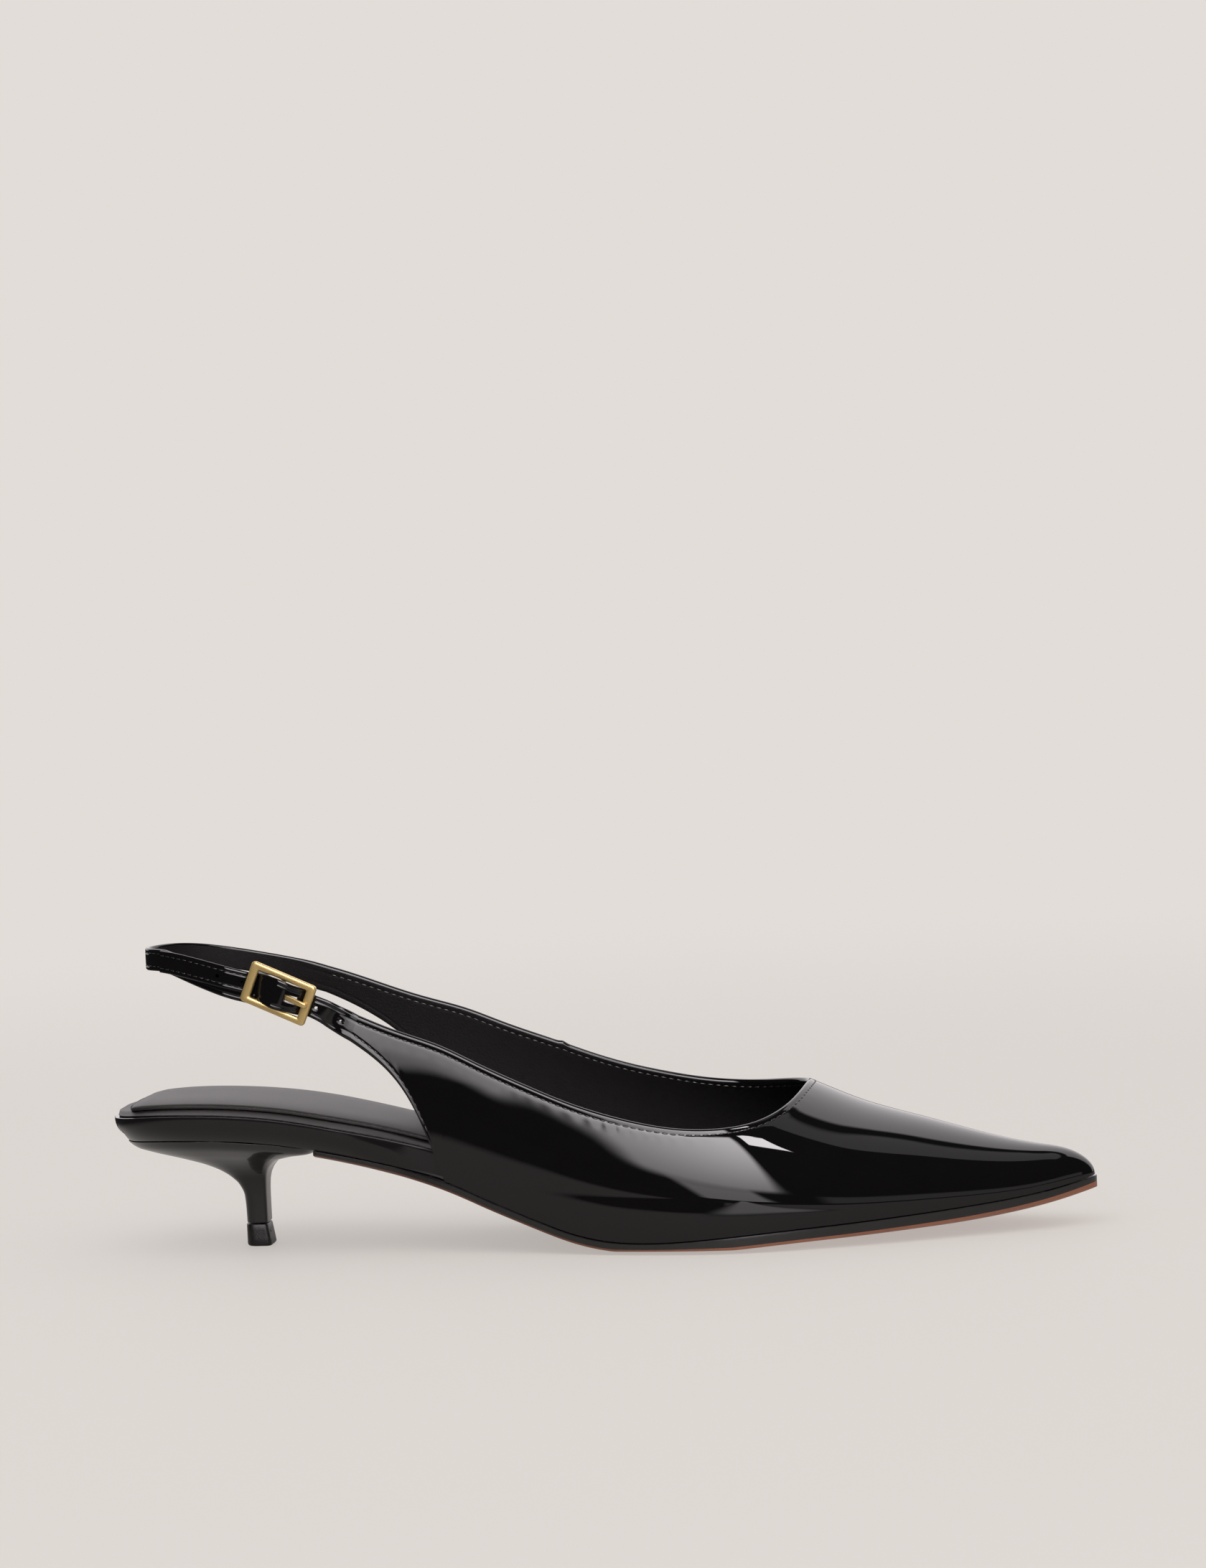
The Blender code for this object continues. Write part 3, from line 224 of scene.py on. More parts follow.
ribTops = np.array([lastPoint(reachOf(row[0] * last["length"]), row[1]) for row in ribRows])
ribRun = runAlong(ribTops)
toplineLength = ribRun[-1]
ribRun = ribRun / toplineLength
topAlong = smoothCurve(ribRun, tableColumn(ribRows, 0))
topTurn = smoothCurve(ribRun, tableColumn(ribRows, 1))
footTurns = tableColumn(ribRows, 3)
cornerOuter = footTurns.index(0.0)
cornerInner = len(ribRows) - 1 - footTurns[::-1].index(1.0)
footCurves = []
for rowA, rowB, kind in ((0, cornerOuter, smoothCurve), (cornerOuter, cornerInner, steadyCurve),
                         (cornerInner, len(ribRows) - 1, smoothCurve)):
    rows = slice(rowA, rowB + 1)
    reaches = [float(reachOf(value * last["length"])) for value in tableColumn(ribRows, 2)[rows]]
    footCurves.append((ribRun[rowA], ribRun[rowB], kind(ribRun[rows], reaches),
                       kind(ribRun[rows], footTurns[rows])))
runOuter, runInner = ribRun[cornerOuter], ribRun[cornerInner]


def ribPlaces(at):
    # reach and turn at the top and the foot of the ribs
    at = np.asarray(at, float)
    top = np.stack([reachOf(topAlong(at) * last["length"]), topTurn(at)], -1)
    foot = np.zeros_like(top)
    for start, end, reach, turn in footCurves:
        here = (at >= start - 1e-9) & (at <= end + 1e-9)
        foot[here] = np.stack([reach(at[here]), turn(at[here])], -1)
    return top, foot


def seatPlan(x, draw):
    back = np.clip(1 - (x - draw) / (last["seatRound"] * last["seatWidth"]), 0.0, 1.0)
    half = (last["seatWidth"] / 2 - draw) * (1 - back ** last["seatBackPower"]) ** (1 / last["seatSidePower"])
    return seatMiddle - half, seatMiddle + half


def joined(x, place):
    # 0 before the place, a share of the length, and 1 past its width
    return smoothStep((np.asarray(x, float) / last["length"] - place[0]) / place[1])


def boardSides(stations, inset, draw=0.0):
    enter = joined(stations, last["boardJoins"])[:, None]
    sides = []
    for side, seatSide in zip((-1, 1), seatPlan(stations, draw)):
        held = featherLine(np.maximum(stations, last["seatFrom"] * last["length"]), side, -inset)
        openPoint = np.stack([stations, seatSide], -1)
        sides.append(openPoint + (held - openPoint) * enter)
    return sides


def boardTop(x):
    thinner = (last["boardThickness"] - last["seatThickness"]) * joined(x, last["boardThins"])
    return seamHeight(x) + last["gap"] / 2 + (last["seatThickness"] + thinner)


# helpers for meshes and pieces
def addItem(name, data):
    item = bpy.data.objects.new(name, data)
    bpy.context.scene.collection.objects.link(item)
    return item


def shoeMesh(name, points, faces, materials, faceMaterials=None, sharp=None):
    # points are given from the back of the seat, and are set over the origin here
    mesh = bpy.data.meshes.new(name)
    points = np.asarray(points, float) - np.array([midShift, 0.0, 0.0])
    mesh.from_pydata(points.tolist(), [], faces)
    for material in materials:
        mesh.materials.append(material)
    if faceMaterials is not None:
        mesh.polygons.foreach_set("material_index", np.asarray(faceMaterials, np.int32))
    work = bmesh.new()
    work.from_mesh(mesh)
    bmesh.ops.remove_doubles(work, verts=work.verts, dist=2e-6)
    bmesh.ops.recalc_face_normals(work, faces=work.faces)
    work.to_mesh(mesh)
    work.free()
    mesh.shade_smooth()
    if sharp:
        mesh.set_sharp_from_angle(angle=math.radians(sharp))
    return addItem(name, mesh)


def gridFaces(columns, rows, start=0, closeColumns=False, closeRows=False):
    grid = np.arange(columns * rows).reshape(columns, rows) + start
    if closeColumns:
        grid = np.vstack([grid, grid[:1]])
    if closeRows:
        grid = np.hstack([grid, grid[:, :1]])
    quads = np.stack([grid[:-1, :-1], grid[:-1, 1:], grid[1:, 1:], grid[1:, :-1]], -1)
    return quads.reshape(-1, 4).tolist()


def sweepSections(name, sections, materials, faceMaterials=None, sharp=None):
    # closed rings joined in order, with both ends capped
    sections = np.asarray(sections, float)
    count, ring = sections.shape[:2]
    faces = gridFaces(count, ring, closeRows=True)
    marks = [0] * len(faces) if faceMaterials is None else list(faceMaterials)
    faces.append(list(range(ring))[::-1])
    faces.append(list(range((count - 1) * ring, count * ring)))
    marks += [marks[0] if marks else 0] * 2
    return shoeMesh(name, sections.reshape(-1, 3), faces, materials, marks, sharp)


def dress(piece, nodes):
    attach(piece, "root")
    if nodes:
        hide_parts(*nodes)
    return piece


# camera, floor and studio light
cameraLook = {"azimuth": 8.5, "pitch": 4.2, "roll": 2.7, "focalPixels": 8080.0, "depth": 1.6,
              "imageSize": (1680, 2185), "lookAt": (0.137, 0.0, 0.040), "shownAt": (841.0, 1521.83)}


def makeCamera(look):
    azimuth, pitch, roll = [math.radians(look[key]) for key in ("azimuth", "pitch", "roll")]
    flat = math.cos(pitch)
    forward = Vector((-math.sin(azimuth) * flat, math.cos(azimuth) * flat, -math.sin(pitch)))
    level = Vector((math.cos(azimuth), math.sin(azimuth), 0))
    upright = level.cross(forward)
    right = level * math.cos(roll) - upright * math.sin(roll)
    up = level * math.sin(roll) + upright * math.cos(roll)
    wide, high = look["imageSize"]
    u = (look["shownAt"][0] - wide / 2) / look["focalPixels"]
    v = -(look["shownAt"][1] - high / 2) / look["focalPixels"]
    target = Vector(look["lookAt"]) - Vector((midShift, 0, 0))
    place = target - look["depth"] * (forward + u * right + v * up)
    camera = addItem("photoCamera", bpy.data.cameras.new("photoCamera"))
    camera.matrix_world = Matrix((*zip(right, up, -forward, place), (0, 0, 0, 1)))
    camera.data.sensor_fit = "AUTO"
    camera.data.sensor_width = 36
    camera.data.lens = look["focalPixels"] * 36 / high
    camera.data.clip_end = 20
    bpy.context.scene.camera = camera


makeCamera(cameraLook)
bpy.context.scene.view_settings.view_transform = "Standard"

studio = {
    "background": (0.762, 0.722, 0.686), "ambient": 0.60, "ambientTint": (1.0, 0.99, 0.98),
    "mirrorTint": (1.0, 0.955, 0.97), "mirrorLeast": 0.015, "lampTint": (1.0, 0.985, 0.965),
    "floorColour": (0.81, 0.768, 0.730), "floorRoughness": 0.65, "floorGloss": 0.2, "floorNear": 0.30,
    "floorFar": 0.90, "floorGlow": 0.55, "floorMirrored": 0.42, "floorSides": 64,
    "floorRings": (0.2, 0.4, 0.7, 1.1, 1.6, 2.4, 4.0, 8.0),
    "litMiddle": (0.16, 0.0, 0.0), "litRadius": 0.365, "litSoft": 0.035, "unlit": 0.02,
    # painted reflections on the table for glossy rays only: a glowing pale card and a dark patch
    "paintedCardReflection": (0.165, -0.750, 0.047, 0.670, 0.025, 2.0, 1.5, -0.15),
    "paintedDarkReflection": (-0.010, -0.220, 0.055, 0.130, 0.02, 1.0, 1.0, 0.0),
    "keyPower": 4.9, "keySize": (1.6, 1.1), "keyPlace": (-0.25, -0.45, 1.35),
    "fillPower": 1.1, "fillSize": (1.0, 0.8), "fillPlace": (0.9, -0.7, 0.9),
}
# what the patent mirrors: azimuth from the camera side towards the toe, elevation, half sizes and
# softness in degrees, brightness at the low edge and at the high edge, lean to the right on the way up
panels = {
    "window": (1.5, 32, 27, 25, 5.0, 2.8, 11.5, 0.0),
    "lowCard": (6, 1.5, 18, 10, 5.0, 1.6, 2.4, -0.9),
    "toeCard": (56, 2, 26, 7, 3.0, 0.42, 0.42, 0.0),
    "windowGlint": (43, 55.5, 9.5, 3.8, 0.7, 17.0, 17.0, 0.0),
    "backWall": (180, 26, 62, 31, 3.0, 1.0, 1.6, 0.0),
    "ceiling": (118, 75, 32, 14.5, 2.5, 0.60, 0.60, 0.0),
}


def newGroup(name, treeKind, inputs, outputs):
    # sockets are given as names with their kinds
    group = bpy.data.node_groups.new(name, treeKind)
    for direction, sockets in (("INPUT", inputs), ("OUTPUT", outputs)):
        for socket, kind in sockets.items():
            group.interface.new_socket(name=socket, in_out=direction, socket_type="NodeSocket" + kind)
    return group, group.nodes.new("NodeGroupInput").outputs, group.nodes.new("NodeGroupOutput").inputs


def addNode(tree, kind, inputs=None, **settings):
    # each input is a value, or the output that is linked to it
    node = tree.nodes.new(kind)
    for setting, value in settings.items():
        setattr(node, setting, value)
    for socket, value in (inputs or {}).items():
        if isinstance(value, bpy.types.NodeSocket):
            tree.links.new(value, node.inputs[socket])
        else:
            node.inputs[socket].default_value = value
    return node


def mathNode(tree, operation, *values, clamp=False):
    node = addNode(tree, "ShaderNodeMath", dict(enumerate(values)), operation=operation, use_clamp=clamp)
    return node.outputs[0]


def smoothRange(tree, value, start=0.0, end=1.0, low=0.0):
    # from low at the start to 1 at the end
    inputs = {"Value": value, "From Min": start, "From Max": end, "To Min": low}
    return addNode(tree, "ShaderNodeMapRange", inputs, interpolation_type="SMOOTHSTEP").outputs["Result"]


def mixShaders(tree, share, first, second):
    return addNode(tree, "ShaderNodeMixShader", {0: share, 1: first, 2: second}).outputs[0]


def makePanelGroup():
    names = ("Azimuth", "Elevation", "Middle Azimuth", "Middle Elevation", "Half Width", "Half Height",
             "Soft", "Low", "High", "Lean")
    group, source, result = newGroup("studioPanel", "ShaderNodeTree", dict.fromkeys(names, "Float"),
                                     {"Light": "Float"})
    raised = mathNode(group, "SUBTRACT", source["Elevation"], source["Middle Elevation"])
    turned = mathNode(group, "SUBTRACT", source["Azimuth"], source["Middle Azimuth"])
    leaned = mathNode(group, "SUBTRACT", turned, mathNode(group, "MULTIPLY", raised, source["Lean"]))
    wrapped = mathNode(group, "WRAP", leaned, 180.0, -180.0)
    light = 1.0
    for value, half in ((wrapped, "Half Width"), (raised, "Half Height")):
        edge = mathNode(group, "SUBTRACT", source[half], mathNode(group, "ABSOLUTE", value))
        share = smoothRange(group, mathNode(group, "DIVIDE", edge, source["Soft"]))
        light = mathNode(group, "MULTIPLY", share, light)
    place = mathNode(group, "DIVIDE", raised, source["Half Height"])
    share = mathNode(group, "MULTIPLY_ADD", place, 0.5, 0.5, clamp=True)
    span = mathNode(group, "SUBTRACT", source["High"], source["Low"])
    bright = mathNode(group, "ADD", mathNode(group, "MULTIPLY", span, share), source["Low"])
    group.links.new(mathNode(group, "MULTIPLY", light, bright), result["Light"])
    return group


panelGroup = makePanelGroup()


def placePanel(tree, across, up, values):
    inputs = dict(enumerate((across, up, *values)))
    return addNode(tree, "ShaderNodeGroup", inputs, node_tree=panelGroup).outputs["Light"]


def makeStudio(look):
    world = bpy.data.worlds.new("studio")
    bpy.context.scene.world = world
    world.use_nodes = True
    tree = world.node_tree
    tree.nodes.clear()
    ray = addNode(tree, "ShaderNodeTexCoord").outputs["Generated"]
    parts = addNode(tree, "ShaderNodeSeparateXYZ", {0: ray}).outputs
    facing = mathNode(tree, "MULTIPLY", parts["Y"], -1.0)
    azimuth = mathNode(tree, "MULTIPLY", mathNode(tree, "ARCTAN2", parts["X"], facing), 180 / math.pi)
    elevation = mathNode(tree, "MULTIPLY", mathNode(tree, "ARCSINE", parts["Z"]), 180 / math.pi)
    total = look["mirrorLeast"]
    for panel in panels.values():
        total = mathNode(tree, "ADD", placePanel(tree, azimuth, elevation, panel), total)
    lights = []
    for colour, strength in ((look["mirrorTint"], total), (look["ambientTint"], look["ambient"]),
                             (look["background"], 1.0)):
        inputs = {"Color": (*colour, 1), "Strength": strength}
        lights.append(addNode(tree, "ShaderNodeBackground", inputs).outputs[0])
    mirrored, ambient, seen = lights
    path = addNode(tree, "ShaderNodeLightPath").outputs
    bounced = mixShaders(tree, path["Is Glossy Ray"], ambient, mirrored)
    shown = mixShaders(tree, path["Is Camera Ray"], bounced, seen)
    addNode(tree, "ShaderNodeOutputWorld", {"Surface": shown})
    for name in ("key", "fill"):
        light = bpy.data.lights.new(name + "Softbox", "AREA")
        light.shape = "RECTANGLE"
        light.size, light.size_y = look[name + "Size"]
        light.energy = look[name + "Power"]
        light.color = look["lampTint"]
        item = addItem(name + "Softbox", light)
        item.location = look[name + "Place"]
        item.rotation_euler = (-Vector(look[name + "Place"])).to_track_quat("-Z", "Y").to_euler()
        item.visible_glossy = False
        item.visible_camera = False


def makeFloorMaterial(look):
    material = bpy.data.materials.new("paleFloor")
    material.use_nodes = True
    tree = material.node_tree
    shader = tree.nodes["Principled BSDF"]
    shader.inputs["Base Color"].default_value = (*look["floorColour"], 1)
    shader.inputs["Roughness"].default_value = look["floorRoughness"]
    shader.inputs["Specular IOR Level"].default_value = look["floorGloss"]
    spot = addNode(tree, "ShaderNodeTexCoord").outputs["Object"]
    away = addNode(tree, "ShaderNodeVectorMath", {0: spot}, operation="LENGTH").outputs["Value"]
    far = smoothRange(tree, away, look["floorNear"], look["floorFar"], look["floorGlow"])
    glow = addNode(tree, "ShaderNodeEmission", {"Color": (*look["background"], 1)}).outputs[0]
    # the studio beyond the table edge is dark for what the patent mirrors
    shift = addNode(tree, "ShaderNodeVectorMath", {0: spot, 1: look["litMiddle"]}, operation="SUBTRACT")
    lit = addNode(tree, "ShaderNodeVectorMath", {0: shift.outputs["Vector"]}, operation="LENGTH")
    edge = smoothRange(tree, lit.outputs["Value"], look["litRadius"] - look["litSoft"],
                       look["litRadius"] + look["litSoft"])
    veil = mathNode(tree, "MULTIPLY_ADD", edge, 1 - look["floorMirrored"], look["floorMirrored"], clamp=True)
    # painted reflections: a pale card glowing and a dark patch, painted into the table in front of the shoe
    # and seen only by glossy rays
    place = addNode(tree, "ShaderNodeSeparateXYZ", {0: spot}).outputs
    paintedCardGlow, paintedDarkPatch = [placePanel(tree, place["X"], place["Y"], look[name])
                   for name in ("paintedCardReflection", "paintedDarkReflection")]
    inputs = {"Color": (*look["mirrorTint"], 1), "Strength": mathNode(tree, "ADD", paintedCardGlow, look["unlit"])}
    dark = addNode(tree, "ShaderNodeEmission", inputs).outputs[0]
    covered = mathNode(tree, "ADD", mathNode(tree, "MULTIPLY", paintedCardGlow, 2.0), paintedDarkPatch)
    glossy = addNode(tree, "ShaderNodeLightPath").outputs["Is Glossy Ray"]
    beyond = mathNode(tree, "MULTIPLY", glossy, mathNode(tree, "ADD", veil, covered, clamp=True))
    table = mixShaders(tree, far, shader.outputs[0], glow)
    surface = tree.nodes["Material Output"].inputs["Surface"]
    tree.links.new(mixShaders(tree, beyond, table, dark), surface)
    return material


def makeFloor(look):
    around = look["floorSides"]
    angles = np.linspace(0, 2 * math.pi, around, endpoint=False)
    points = [(0, 0, 0)]
    for radius in look["floorRings"]:
        points += [(radius * math.cos(angle), radius * math.sin(angle), 0) for angle in angles]
    faces = [(0, 1 + k, 1 + (k + 1) % around) for k in range(around)]
    for ring in range(len(look["floorRings"]) - 1):
        a = 1 + ring * around
        b = a + around
        faces += [(a + k, b + k, b + (k + 1) % around, a + (k + 1) % around) for k in range(around)]
    mesh = bpy.data.meshes.new("floor")
    mesh.from_pydata(points, [], faces)
    mesh.materials.append(makeFloorMaterial(look))
    addItem("floor", mesh)


makeStudio(studio)
makeFloor(studio)
print("camera, floor and studio ready")

# materials
finishes = {
    "patentBlack": {"Base Color": (0.0055, 0.0050, 0.0055, 1), "Roughness": 0.30, "Coat Weight": 1.0,
                    "Coat Roughness": 0.012, "Specular IOR Level": 0.0},
    "coveredRand": {"Base Color": (0.0075, 0.0065, 0.0070, 1), "Roughness": 0.30, "Coat Weight": 0.8,
                    "Coat Roughness": 0.045, "Specular IOR Level": 0.1},
    "heelCover": {"Base Color": (0.0080, 0.0070, 0.0075, 1), "Roughness": 0.30, "Coat Weight": 0.9,
                  "Coat Roughness": 0.035, "Specular IOR Level": 0.15},
    "liningLeather": {"Base Color": (0.0075, 0.0066, 0.0066, 1), "Roughness": 0.60,
                      "Specular IOR Level": 0.25},
    "sockLeather": {"Base Color": (0.0210, 0.0172, 0.0176, 1), "Roughness": 0.46, "Specular IOR Level": 0.45},
    "edgePaint": {"Base Color": (0.0100, 0.0090, 0.0090, 1), "Roughness": 0.24, "Coat Weight": 0.4,
                  "Coat Roughness": 0.10},
    "soleTan": {"Base Color": (0.30, 0.115, 0.065, 1), "Roughness": 0.38, "Specular IOR Level": 0.4},
    "topRubber": {"Base Color": (0.0090, 0.0080, 0.0080, 1), "Roughness": 0.34, "Specular IOR Level": 0.35},
    "satinGold": {"Base Color": (0.84, 0.60, 0.25, 1), "Roughness": 0.34, "Metallic": 0.72},
    "blackThread": {"Base Color": (0.0200, 0.0180, 0.0180, 1), "Roughness": 0.34, "Specular IOR Level": 0.8},
}


def noiseNode(tree, vector, scale, detail, roughness=0.5):
    inputs = {"Vector": vector, "Scale": scale, "Detail": detail, "Roughness": roughness}
    return addNode(tree, "ShaderNodeTexNoise", inputs).outputs["Fac"]


def makeGrainGroup():
    # pebbles and pores of leather
    group, source, result = newGroup("leatherGrain", "ShaderNodeTree",
                                     {"Vector": "Vector", "Scale": "Float", "Pores": "Float"},
                                     {"Height": "Float"})
    pebbles = addNode(group, "ShaderNodeTexVoronoi", {"Vector": source["Vector"], "Scale": source["Scale"]},
                      feature="DISTANCE_TO_EDGE")
    crease = mathNode(group, "MULTIPLY", pebbles.outputs["Distance"], 5.0, clamp=True)
    noise = noiseNode(group, source["Vector"], mathNode(group, "MULTIPLY", source["Scale"], 0.6), 3.0)
    pores = mathNode(group, "MULTIPLY", noise, source["Pores"])
    group.links.new(mathNode(group, "ADD", crease, pores), result["Height"])
    return group


def makeFilmGroup():
    # slow waves and faint orange peel of a glossy film
    group, source, result = newGroup("glossyFilm", "ShaderNodeTree",
                                     {"Vector": "Vector", "Wave Scale": "Float", "Peel": "Float"},
                                     {"Height": "Float"})
    waves = noiseNode(group, source["Vector"], source["Wave Scale"], 1.0)
    peel = noiseNode(group, source["Vector"], mathNode(group, "MULTIPLY", source["Wave Scale"], 9.0), 2.0)
    fine = mathNode(group, "MULTIPLY", peel, source["Peel"])
    group.links.new(mathNode(group, "ADD", waves, fine), result["Height"])
    return group


def makeMottleGroup():
    # uneven tone and gloss: Tone multiplies a colour, Gloss adds to roughness
    group, source, result = newGroup("unevenTone", "ShaderNodeTree",
                                     {"Vector": "Vector", "Scale": "Float", "Amount": "Float"},
                                     {"Tone": "Float", "Gloss": "Float"})
    noise = noiseNode(group, source["Vector"], source["Scale"], 5.0, 0.6)
    swing = mathNode(group, "MULTIPLY", mathNode(group, "SUBTRACT", noise, 0.5), source["Amount"])
    group.links.new(mathNode(group, "ADD", swing, 1.0), result["Tone"])
    group.links.new(mathNode(group, "MULTIPLY", swing, 0.10), result["Gloss"])
    return group


grainGroup, filmGroup, mottleGroup = makeGrainGroup(), makeFilmGroup(), makeMottleGroup()


def placeGroup(tree, group, vector, **values):
    inputs = {name.replace("_", " "): value for name, value in values.items()}
    return addNode(tree, "ShaderNodeGroup", {"Vector": vector, **inputs}, node_tree=group).outputs


def makeFinish(name, surface, depth, mottle, stretch=None, **values):
    # surface gives the relief, depth is in metres, mottle is a scale and an amount
    look = finishes[name]
    material = bpy.data.materials.new(name)
    material.use_nodes = True
    tree = material.node_tree
    shader = tree.nodes["Principled BSDF"]
    for socket, value in look.items():
        shader.inputs[socket].default_value = value
    material.diffuse_color = look["Base Color"]
    vector = addNode(tree, "ShaderNodeTexCoord").outputs["Object"]
    if stretch:
        vector = addNode(tree, "ShaderNodeMapping", {"Vector": vector, "Scale": stretch}).outputs["Vector"]
    uneven = placeGroup(tree, mottleGroup, vector, Scale=mottle[0], Amount=mottle[1])
    tint = addNode(tree, "ShaderNodeVectorMath", {0: look["Base Color"][:3], "Scale": uneven["Tone"]},
                   operation="SCALE")
    relief = placeGroup(tree, surface, vector, **values)["Height"]
    bump = addNode(tree, "ShaderNodeBump", {"Strength": 1.0, "Distance": depth, "Height": relief})
    links = {"Base Color": tint.outputs["Vector"], "Normal": bump.outputs["Normal"],
             "Roughness": mathNode(tree, "ADD", uneven["Gloss"], look["Roughness"], clamp=True)}
    if "Coat Weight" in look:
        links["Coat Normal"] = bump.outputs["Normal"]
    for socket, output in links.items():
        tree.links.new(output, shader.inputs[socket])
    return material


patent = makeFinish("patentBlack", filmGroup, 0.000045, (120.0, 0.3), Wave_Scale=48.0, Peel=0.02)
randCover = makeFinish("coveredRand", filmGroup, 0.00004, (90.0, 0.4), Wave_Scale=70.0, Peel=0.05)
heelCover = makeFinish("heelCover", filmGroup, 0.00003, (90.0, 0.4), Wave_Scale=60.0, Peel=0.04)
lining = makeFinish("liningLeather", grainGroup, 0.000025, (150.0, 0.5), Scale=1100.0, Pores=0.8)
sockLeather = makeFinish("sockLeather", grainGroup, 0.000018, (110.0, 0.5), Scale=1400.0, Pores=1.4)
edgePaint = makeFinish("edgePaint", filmGroup, 0.00005, (140.0, 0.6), Wave_Scale=260.0, Peel=0.2)
soleTan = makeFinish("soleTan", grainGroup, 0.00002, (45.0, 0.55), Scale=700.0, Pores=1.2)
topRubber = makeFinish("topRubber", grainGroup, 0.00002, (200.0, 0.6), Scale=2400.0, Pores=1.5)
gold = makeFinish("satinGold", filmGroup, 0.000003, (70.0, 0.1), (0.3, 1.0, 1.0), Wave_Scale=150.0, Peel=0.05)
thread = makeFinish("blackThread", filmGroup, 0.00002, (500.0, 0.5), Wave_Scale=3000.0, Peel=0.5)


def paintShadeUnderWaist(material, start, end, low):
    # painted shade: darkens the base colour from the ball towards the waist, where the sole lies in shadow
    tree = material.node_tree
    tint = tree.nodes["Principled BSDF"].inputs["Base Color"].links[0].from_node
    tone = tint.inputs["Scale"].links[0].from_socket
    place = addNode(tree, "ShaderNodeSeparateXYZ", {0: tree.nodes["Texture Coordinate"].outputs["Object"]})
    share = smoothRange(tree, place.outputs["X"], start, end, low)
    tree.links.new(mathNode(tree, "MULTIPLY", tone, share), tint.inputs["Scale"])


# painted shade under the waist of the sole's tan underside
paintedWaistShade = {"start": -0.030, "end": 0.050, "low": 0.35}
paintShadeUnderWaist(soleTan, **paintedWaistShade)
print("materials ready:", len(finishes))

# upper
upperLook = {
    "columns": 470, "middleRows": 46, "footPull": 1.35,
    "bead": 0.00007, "beadAt": 0.0009, "beadWidth": 0.0005,
    "groove": 0.00007, "grooveAt": 0.0021, "grooveWidth": 0.00036,
    "pucker": 0.000045, "puckerEvery": 0.0044, "puckerAt": 0.0032, "puckerWidth": 0.0010,
    "puckerWander": ((2.6, 150), (2.1, 61)), "puckerMiddle": 0.30, "puckerSpread": 0.10, "puckerSwing": 97,
    "folded": 0.0006, "cornerFade": 0.012, "seamLump": 0.0004, "seamLumpWidth": 0.0011,
    "seamLumpDown": 0.0016, "innerSeam": 0.452, "shortRib": 0.0062, "footLevel": 0.0006, "trimFade": 0.0005,
    "nearEdge": (0, .04, .12, .25, .42, .62, .85, 1.1, 1.35, 1.6, 1.8, 1.95, 2.1, 2.25, 2.45, 2.7),
}


def ribGrid(stops, look=upperLook):
    # distance down every rib, its length, and the place on the last
    top, foot = ribPlaces(stops)
    dense = np.linspace(0, 1, 121)
    places = top[:, None, :] + (foot - top)[:, None, :] * dense[None, :, None]
    points = lastPoint(places[..., 0], places[..., 1])
    run = np.linalg.norm(np.diff(points, axis=1), axis=2).cumsum(axis=1)
    run = np.hstack([np.zeros((len(stops), 1)), run])
    rows = []
    middle = 1 - (1 - np.linspace(0, 1, look["middleRows"] + 2)[1:-1]) ** look["footPull"]
    for column in run:
        length = column[-1]
        near = np.array(look["nearEdge"]) * 0.001 * min(1.0, length / look["shortRib"])
        down = np.concatenate([near, near[-1] + (length - 2 * near[-1]) * middle, (length - near)[::-1]])
        rows.append(np.stack([down, np.interp(down, column, dense)]))
    rows = np.array(rows)
    places = top[:, None, :] + (foot - top)[:, None, :] * rows[:, 1, :, None]
    return rows[:, 0], run[:, -1], places


def foldDrop(distance, radius):
    inside = np.clip(radius - distance, 0.0, radius)
    return radius - np.sqrt(np.maximum(0.0, radius ** 2 - inside ** 2))


def openFoot(stops):
    # 1 where the rib ends in the quarter's open rear edge, 0 where it meets the sole
    fade = upperLook["cornerFade"] / toplineLength
    return np.maximum(smoothStep((runOuter - stops) / fade), smoothStep((stops - runInner) / fade))


def wallSurfaces(stops, look=upperLook):
    down, length, places = ribGrid(stops)
    up = length[:, None] - down
    point = lastPoint(places[..., 0], places[..., 1]) + np.array([0, 0, last["gap"] / 2])
    normal = lastNormal(places[..., 0], places[..., 1])
    opened = openFoot(stops)[:, None]
    level = normal.copy()
    level[..., 2] *= 1 - (1 - opened) * np.clip(1 - up / look["footLevel"], 0, 1)
    run = stops[:, None] * toplineLength
    lump = bell(run, innerSeamAt * toplineLength, look["seamLumpWidth"]) * bell(down, 0, look["seamLumpDown"])
    point[..., 2] += look["seamLump"] * lump
    radius = last["wall"] / 2
    drop = foldDrop(down, radius) + foldDrop(up, radius) * opened
    wander = sum(amount * np.sin(run * pace) for amount, pace in look["puckerWander"])
    ripple = np.sin(2 * math.pi * run / look["puckerEvery"] + wander)
    strength = 0.25 + 0.75 * bell(run / toplineLength, look["puckerMiddle"], look["puckerSpread"])
    strength = strength * (0.6 + 0.4 * np.sin(run * look["puckerSwing"]))
    outer = np.zeros_like(down)
    inner = np.zeros_like(down)
    for distance, weight in ((down, 1.0), (up, opened)):
        sunk = look["groove"] * bell(distance, look["grooveAt"], look["grooveWidth"])
        pucker = look["pucker"] * ripple * strength * bell(distance, look["puckerAt"], look["puckerWidth"])
        bead = look["bead"] * bell(distance, look["beadAt"], look["beadWidth"])
        outer = outer + (bead - sunk + pucker) * weight
        inner = inner - sunk * weight
    keep = smoothStep(down / look["trimFade"])
    outside = point + level * (outer * keep - drop)[..., None]
    inside = point - level * (last["wall"] - drop + inner * keep)[..., None]
    return down, outside, inside


innerSide = np.linspace(0.55, 0.98, 80)
innerSeamAt = float(np.interp(-upperLook["innerSeam"], -topAlong(innerSide), innerSide))


def upperStops():
    stops = np.linspace(0, 1, upperLook["columns"])
    for corner in (runOuter, runInner):
        stops[np.argmin(np.abs(stops - corner))] = corner
    return stops


